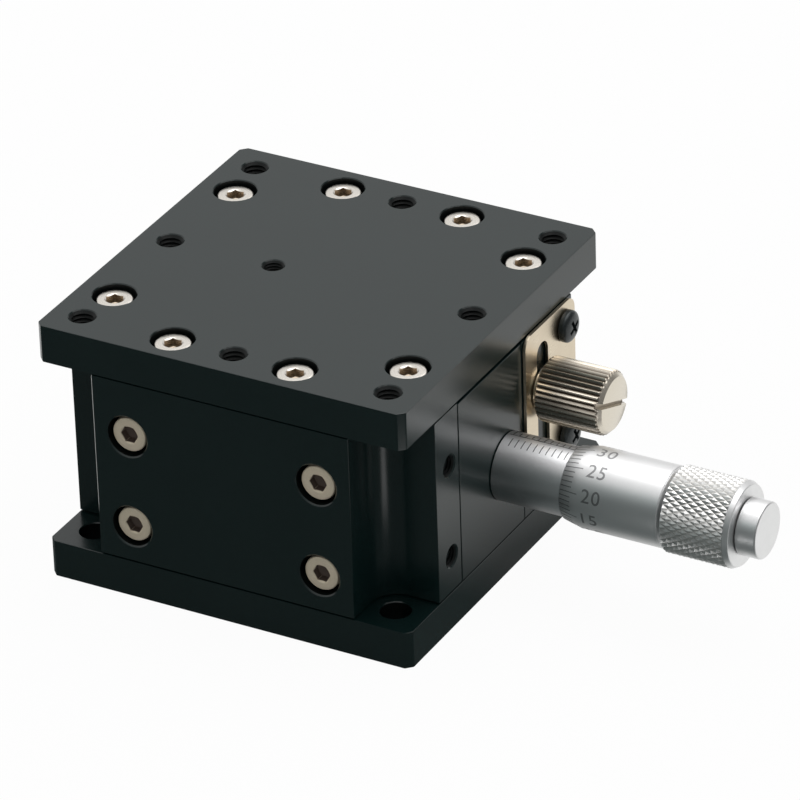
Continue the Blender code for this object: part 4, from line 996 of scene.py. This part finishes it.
clamp = {
    "cornerRadius": 2.0 * mm, "cornerSteps": 8, "slotInset": 5.17 * mm, "slotWidth": 3.5 * mm,
    "slotLength": 19.8 * mm, "slotSteps": 16, "holeRadius": 1.4 * mm, "holeMouth": 0.0005 * mm,
    "edge": 0.1 * mm, "near": 0.001 * mm,
    "shankRadius": 1.5 * mm, "shankTip": 0.3 * mm, "collarRadius": 3.5 * mm,
    "collar": 0.4 * mm, "collarEdge": 0.1 * mm, "radius": 4.9 * mm, "rootBevel": 0.7 * mm, "rootSteps": 8,
    "grip": 9.52 * mm, "endBevel": 0.85 * mm, "endRadius": 4.05 * mm, "endEdge": 0.05 * mm, "coneRings": 7,
    "flutes": 36, "fluteDepth": 0.36 * mm, "teeth": (1.0, 0.42, 0.0, 0.42), "shadeFrom": 0.8 * mm,
    "shadeTo": 10.9 * mm, "slotTurn": math.radians(69), "coinSlotWidth": 0.82 * mm, "coinSlotDepth": 1.05 * mm,
}

# the second colour is dark shade painted into the flutes
finishes["flutedNickel"] = makeGrooved(
    "flutedNickel", (0.76, 0.70, 0.60), (0.13, 0.095, 0.07), 0.25,
    clamp["radius"], clamp["fluteDepth"], clamp["shadeFrom"], clamp["shadeTo"])


def roundedBox(low, high, radius):
    corners = (
        (low.y + radius, low.z + radius, 180), (high.y - radius, low.z + radius, 270),
        (high.y - radius, high.z - radius, 0), (low.y + radius, high.z - radius, 90),
    )
    points = []
    for across, up, start in corners:
        points += arcPoints((across, up), radius, start, start + 90, clamp["cornerSteps"])
    return points


def buildClampPlate():
    low, high, middle = boxOf("clamp_plate")
    body = pushed(roundedBox(low, high, clamp["cornerRadius"]), "X", low.x, high.x)
    half = clamp["slotWidth"] / 2
    reach = clamp["slotLength"] / 2 - half
    slotY = low.y + clamp["slotInset"]
    slot = arcPoints((slotY, middle.z + reach), half, 0, 180, clamp["slotSteps"])
    slot += arcPoints((slotY, middle.z - reach), half, 180, 360, clamp["slotSteps"])
    cutters = [pushed(slot, "X", low.x - over, high.x + over)]
    screw = plainHole(clamp["holeRadius"], high.x - low.x + over, clamp["holeMouth"])
    cutters += drilled(screw, "right", high.x, middlesOf("pan_screw"))
    rims = lambda edge: all(abs(vertex.co.x - high.x) < clamp["near"] for vertex in edge.verts)
    show("clampPlate", eased(bored(body, cutters), clamp["edge"], rims), "pale_plate", "clamp_plate")


def buildClampKnob():
    low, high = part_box("clamp_knob")
    radius, shank, tip = clamp["radius"], clamp["shankRadius"], clamp["shankTip"]
    collar, collarRadius, ease = clamp["collar"], clamp["collarRadius"], clamp["collarEdge"]
    gripStart = collar + clamp["rootBevel"]
    gripEnd = gripStart + clamp["grip"]
    end = gripEnd + clamp["endBevel"]
    seat = high.x - end
    start = low.x - seat
    profile = [(start, 0), (start, shank - tip), (start + tip, shank), (0, shank), (0, collarRadius),
               (collar, collarRadius), (collar + ease, collarRadius + ease)]
    for out, along in arcPoints((0, 0), 1.0, 0, 90, clamp["rootSteps"])[1:-1]:
        profile.append((collar + ease + (clamp["rootBevel"] - ease) * (1 - out),
                        collarRadius + ease + (radius - collarRadius - ease) * along))
    profile.append((gripStart, radius))
    for ring in range(clamp["coneRings"]):
        share = ring / clamp["coneRings"]
        profile.append((gripEnd + clamp["endBevel"] * share, radius + (clamp["endRadius"] - radius) * share))
    edge, endRadius = clamp["endEdge"], clamp["endRadius"]
    profile += [(end - edge, endRadius + edge), (end, endRadius - edge), (end, 0)]
    body = spun(profile, clamp["flutes"] * 4)
    for vertex in body.verts:  # straight teeth that run out into the bevels
        step, out = roundStep(vertex, clamp["flutes"] * 4)
        limit = radius - clamp["fluteDepth"] * clamp["teeth"][step % 4]
        if out > limit:
            narrowed(body, [vertex], limit / out)
    wide, half = radius + over, clamp["coinSlotWidth"] / 2
    slot = pushed([(-wide, -half), (wide, -half), (wide, half), (-wide, half)], "Z",
                  end - clamp["coinSlotDepth"], end + over)
    moved(slot, turn=Matrix.Rotation(clamp["slotTurn"], 4, "Z"))
    showTurned("clampKnob", bored(body, [slot]), "warm_nickel", "clamp_knob", seat, "flutedNickel")


buildClampPlate()
buildClampKnob()
print("clamp made")


# CAD nodes that stay: the works between the blocks

insideFinishes = {
    "ground_steel": ["inner_rail_left", "inner_rail_right", *nodesOf("outer_rail"), "wedge", "wedge_track",
                     "follower_bracket"],
    "brass": nodesOf("roller_cage") + nodesOf("base_stud") + nodesOf("table_stud"),
    "drawnSteel": nodesOf("return_spring") + ["follower_axle", "follower_roller"],
    "blackBody": nodesOf("inner_rail_screw") + nodesOf("track_screw") + nodesOf("bracket_screw"),
}

for finish, nodes in insideFinishes.items():
    for node in nodes:
        materials = frame["nodes"][node].data.materials
        materials.clear()
        materials.append(finishes[finish])
print("works dressed")


# floor, light and camera

studio = {
    "worldLevel": 0.50, "skyLow": 0.60, "skyHigh": 0.86, "skyRise": (0.0, 0.45), "skyTurn": (0.05, 0.5),
    "darkRight": 0.25,
    "floorHalf": 3.0, "floorDrop": 0.00003, "floorWhite": 0.80, "seenGlow": 0.96,
    "nearMirror": (0.033, 0.22), "farMirror": (0.053, 0.92),  # how far away, and how pale in reflections
    "darkFloor": (-0.009, 0.11), "paleFloor": 0.003,  # towards the front, reflections see a dark floor
    "darkTint": (0.87, 1.0, 0.99), "paleTint": (0.995, 1.0, 0.99),
    "sideCardPlace": (0.066, -0.048, 0.0008), "sideCardSize": (0.036, 0.014),
    "sideCardTurn": math.radians(-29.6), "sideCardLevel": 1.7,
    "wallSize": (2.8, 1.35), "wallPlace": (-0.3, -1.2), "wallDark": 0.40, "wallTop": 0.55,
    "softboxPlace": (0.12, 0.24, 1.0), "softboxSize": (1.3, 1.0), "softboxPower": 6.9,
}

shot = {
    "azimuth": math.radians(29.565), "elevation": math.radians(30.114), "roll": math.radians(-1.918),
    "distance": 0.97239, "target": Vector((0.012676, 0, 0.024524)), "lens": 301.655, "sensor": 36,
    "clip": (0.05, 20),
}

black = (0, 0, 0)
white = (1, 1, 1)


def flatSheet(name, size, material, turn):
    shape = bmesh.new()
    bmesh.ops.create_grid(shape, x_segments=1, y_segments=1, size=0.5)
    bmesh.ops.scale(shape, vec=(*size, 1), verts=shape.verts[:])
    shape.transform(turn)
    mesh = bpy.data.meshes.new(name)
    shape.to_mesh(mesh)
    shape.free()
    mesh.materials.append(material)
    sheet = bpy.data.objects.new(name, mesh)
    scene.collection.objects.link(sheet)
    return sheet


def newStageMaterial(name):
    material = bpy.data.materials.new(name)
    material.use_nodes = True
    material.node_tree.nodes.remove(material.node_tree.nodes["Principled BSDF"])
    return material, Sheet(material.node_tree, "Material Output")


def seenBy(sheet, *kinds):
    # 1 for these kinds of rays
    total = 0.0
    for kind in kinds:
        total = total + sheet.node("ShaderNodeLightPath", {}, {}, f"Is {kind} Ray")
    return sheet.clamped(total, 0, 1)


def buildFloor():
    material, sheet = newStageMaterial("whiteFloor")
    paper = sheet.node("ShaderNodeBsdfDiffuse", {}, {"Color": [studio["floorWhite"]] * 3})
    # reflections see the floor painted darker near the stage as its shadow, and darkest in front
    place = sheet.objectPlace()
    near, far = studio["nearMirror"], studio["farMirror"]
    mirror = sheet.clamped(sheet.away(place), near[0], far[0], near[1], far[1])
    plain = seenBy(sheet, "Camera", "Transmission")
    glossy = seenBy(sheet, "Glossy")
    edge, level = studio["darkFloor"]
    behind = sheet.clamped(sheet.axis(place, "Y"), edge, studio["paleFloor"])
    dark = [part * level for part in studio["darkTint"]]
    seen = sheet.blend(behind, dark, sheet.blend(mirror, black, studio["paleTint"]))
    glow = sheet.node("ShaderNodeEmission", {}, {"Color": sheet.blend(glossy, white, seen), "Strength": 1.0})
    mixed = sheet.node("ShaderNodeMixShader", {}, {0: plain * studio["seenGlow"] + glossy, 1: paper, 2: glow})
    sheet.end({"Surface": mixed})
    size = studio["floorHalf"] * 2
    flatSheet("floor", (size, size), material, Matrix.Translation((0, 0, -studio["floorDrop"])))


def glowCard(name, size, turn, tint, strength, rising=None):
    # a card that only reflections show; rising is (from height, to height, low share, high share)
    material, sheet = newStageMaterial(name)
    shade = tint
    if rising:
        share = sheet.clamped(sheet.axis(sheet.objectPlace(), "Z"), *rising)
        shade = sheet.blend(share, black, tint)
    sheet.end({"Surface": sheet.node("ShaderNodeEmission", {}, {"Color": shade, "Strength": strength})})
    card = flatSheet(name, size, material, turn)
    card.visible_camera = False
    card.visible_diffuse = False
    card.visible_shadow = False


def buildCards():
    wide, high = studio["wallSize"]
    across, back = studio["wallPlace"]
    upright = Matrix.Translation((across, back, high / 2)) @ facing["front"]
    rising = (studio["wallDark"], high, studio["darkFloor"][1], studio["wallTop"])
    glowCard("wallCard", (wide, high), upright, studio["darkTint"], 1.0, rising)
    turn = Matrix.Translation(studio["sideCardPlace"]) @ Matrix.Rotation(studio["sideCardTurn"], 4, "Z")
    glowCard("sideCard", studio["sideCardSize"], turn, white, studio["sideCardLevel"])


def buildWorld():
    world = bpy.data.worlds.new("studio")
    scene.world = world
    world.use_nodes = True
    sheet = Sheet(world.node_tree, "Background")
    level = studio["worldLevel"]
    # reflections see a sky that is darker towards the horizon and towards the micrometer's side
    heading = sheet.node("ShaderNodeTexCoord", {}, {}, "Generated")
    sky = sheet.clamped(sheet.axis(heading, "Z"), *studio["skyRise"], studio["skyLow"], studio["skyHigh"])
    sky = sky * sheet.clamped(sheet.axis(heading, "X"), *studio["skyTurn"], 1.0, studio["darkRight"])
    seen = seenBy(sheet, "Camera", "Transmission") * (1 - level)
    sheet.end({"Color": white, "Strength": level + seen + seenBy(sheet, "Glossy") * (sky - level)})


def buildSoftbox():
    light = bpy.data.lights.new("softbox", "AREA")
    light.shape = "RECTANGLE"
    light.size, light.size_y = studio["softboxSize"]
    light.energy = studio["softboxPower"]
    lamp = bpy.data.objects.new("softbox", light)
    place = Vector(studio["softboxPlace"])
    lamp.matrix_world = Matrix.Translation(place) @ (-place).to_track_quat("-Z", "Y").to_matrix().to_4x4()
    scene.collection.objects.link(lamp)


def buildCamera():
    azimuth, elevation, roll = shot["azimuth"], shot["elevation"], shot["roll"]
    level = math.cos(elevation)
    back = Vector((math.sin(azimuth) * level, -math.cos(azimuth) * level, math.sin(elevation)))
    side = Vector((math.cos(azimuth), math.sin(azimuth), 0))
    above = back.cross(side)
    right = side * math.cos(roll) + above * math.sin(roll)
    up = above * math.cos(roll) - side * math.sin(roll)
    data = bpy.data.cameras.new("camera")
    data.sensor_width = shot["sensor"]
    data.lens = shot["lens"]
    data.clip_start, data.clip_end = shot["clip"]
    camera = bpy.data.objects.new("camera", data)
    scene.collection.objects.link(camera)
    turn = Matrix((right, up, back)).transposed().to_4x4()
    camera.matrix_world = Matrix.Translation(shot["target"] + back * shot["distance"]) @ turn
    scene.camera = camera


scene.view_settings.view_transform = "Standard"
buildFloor()
buildCards()
buildWorld()
buildSoftbox()
buildCamera()
print("studio made")
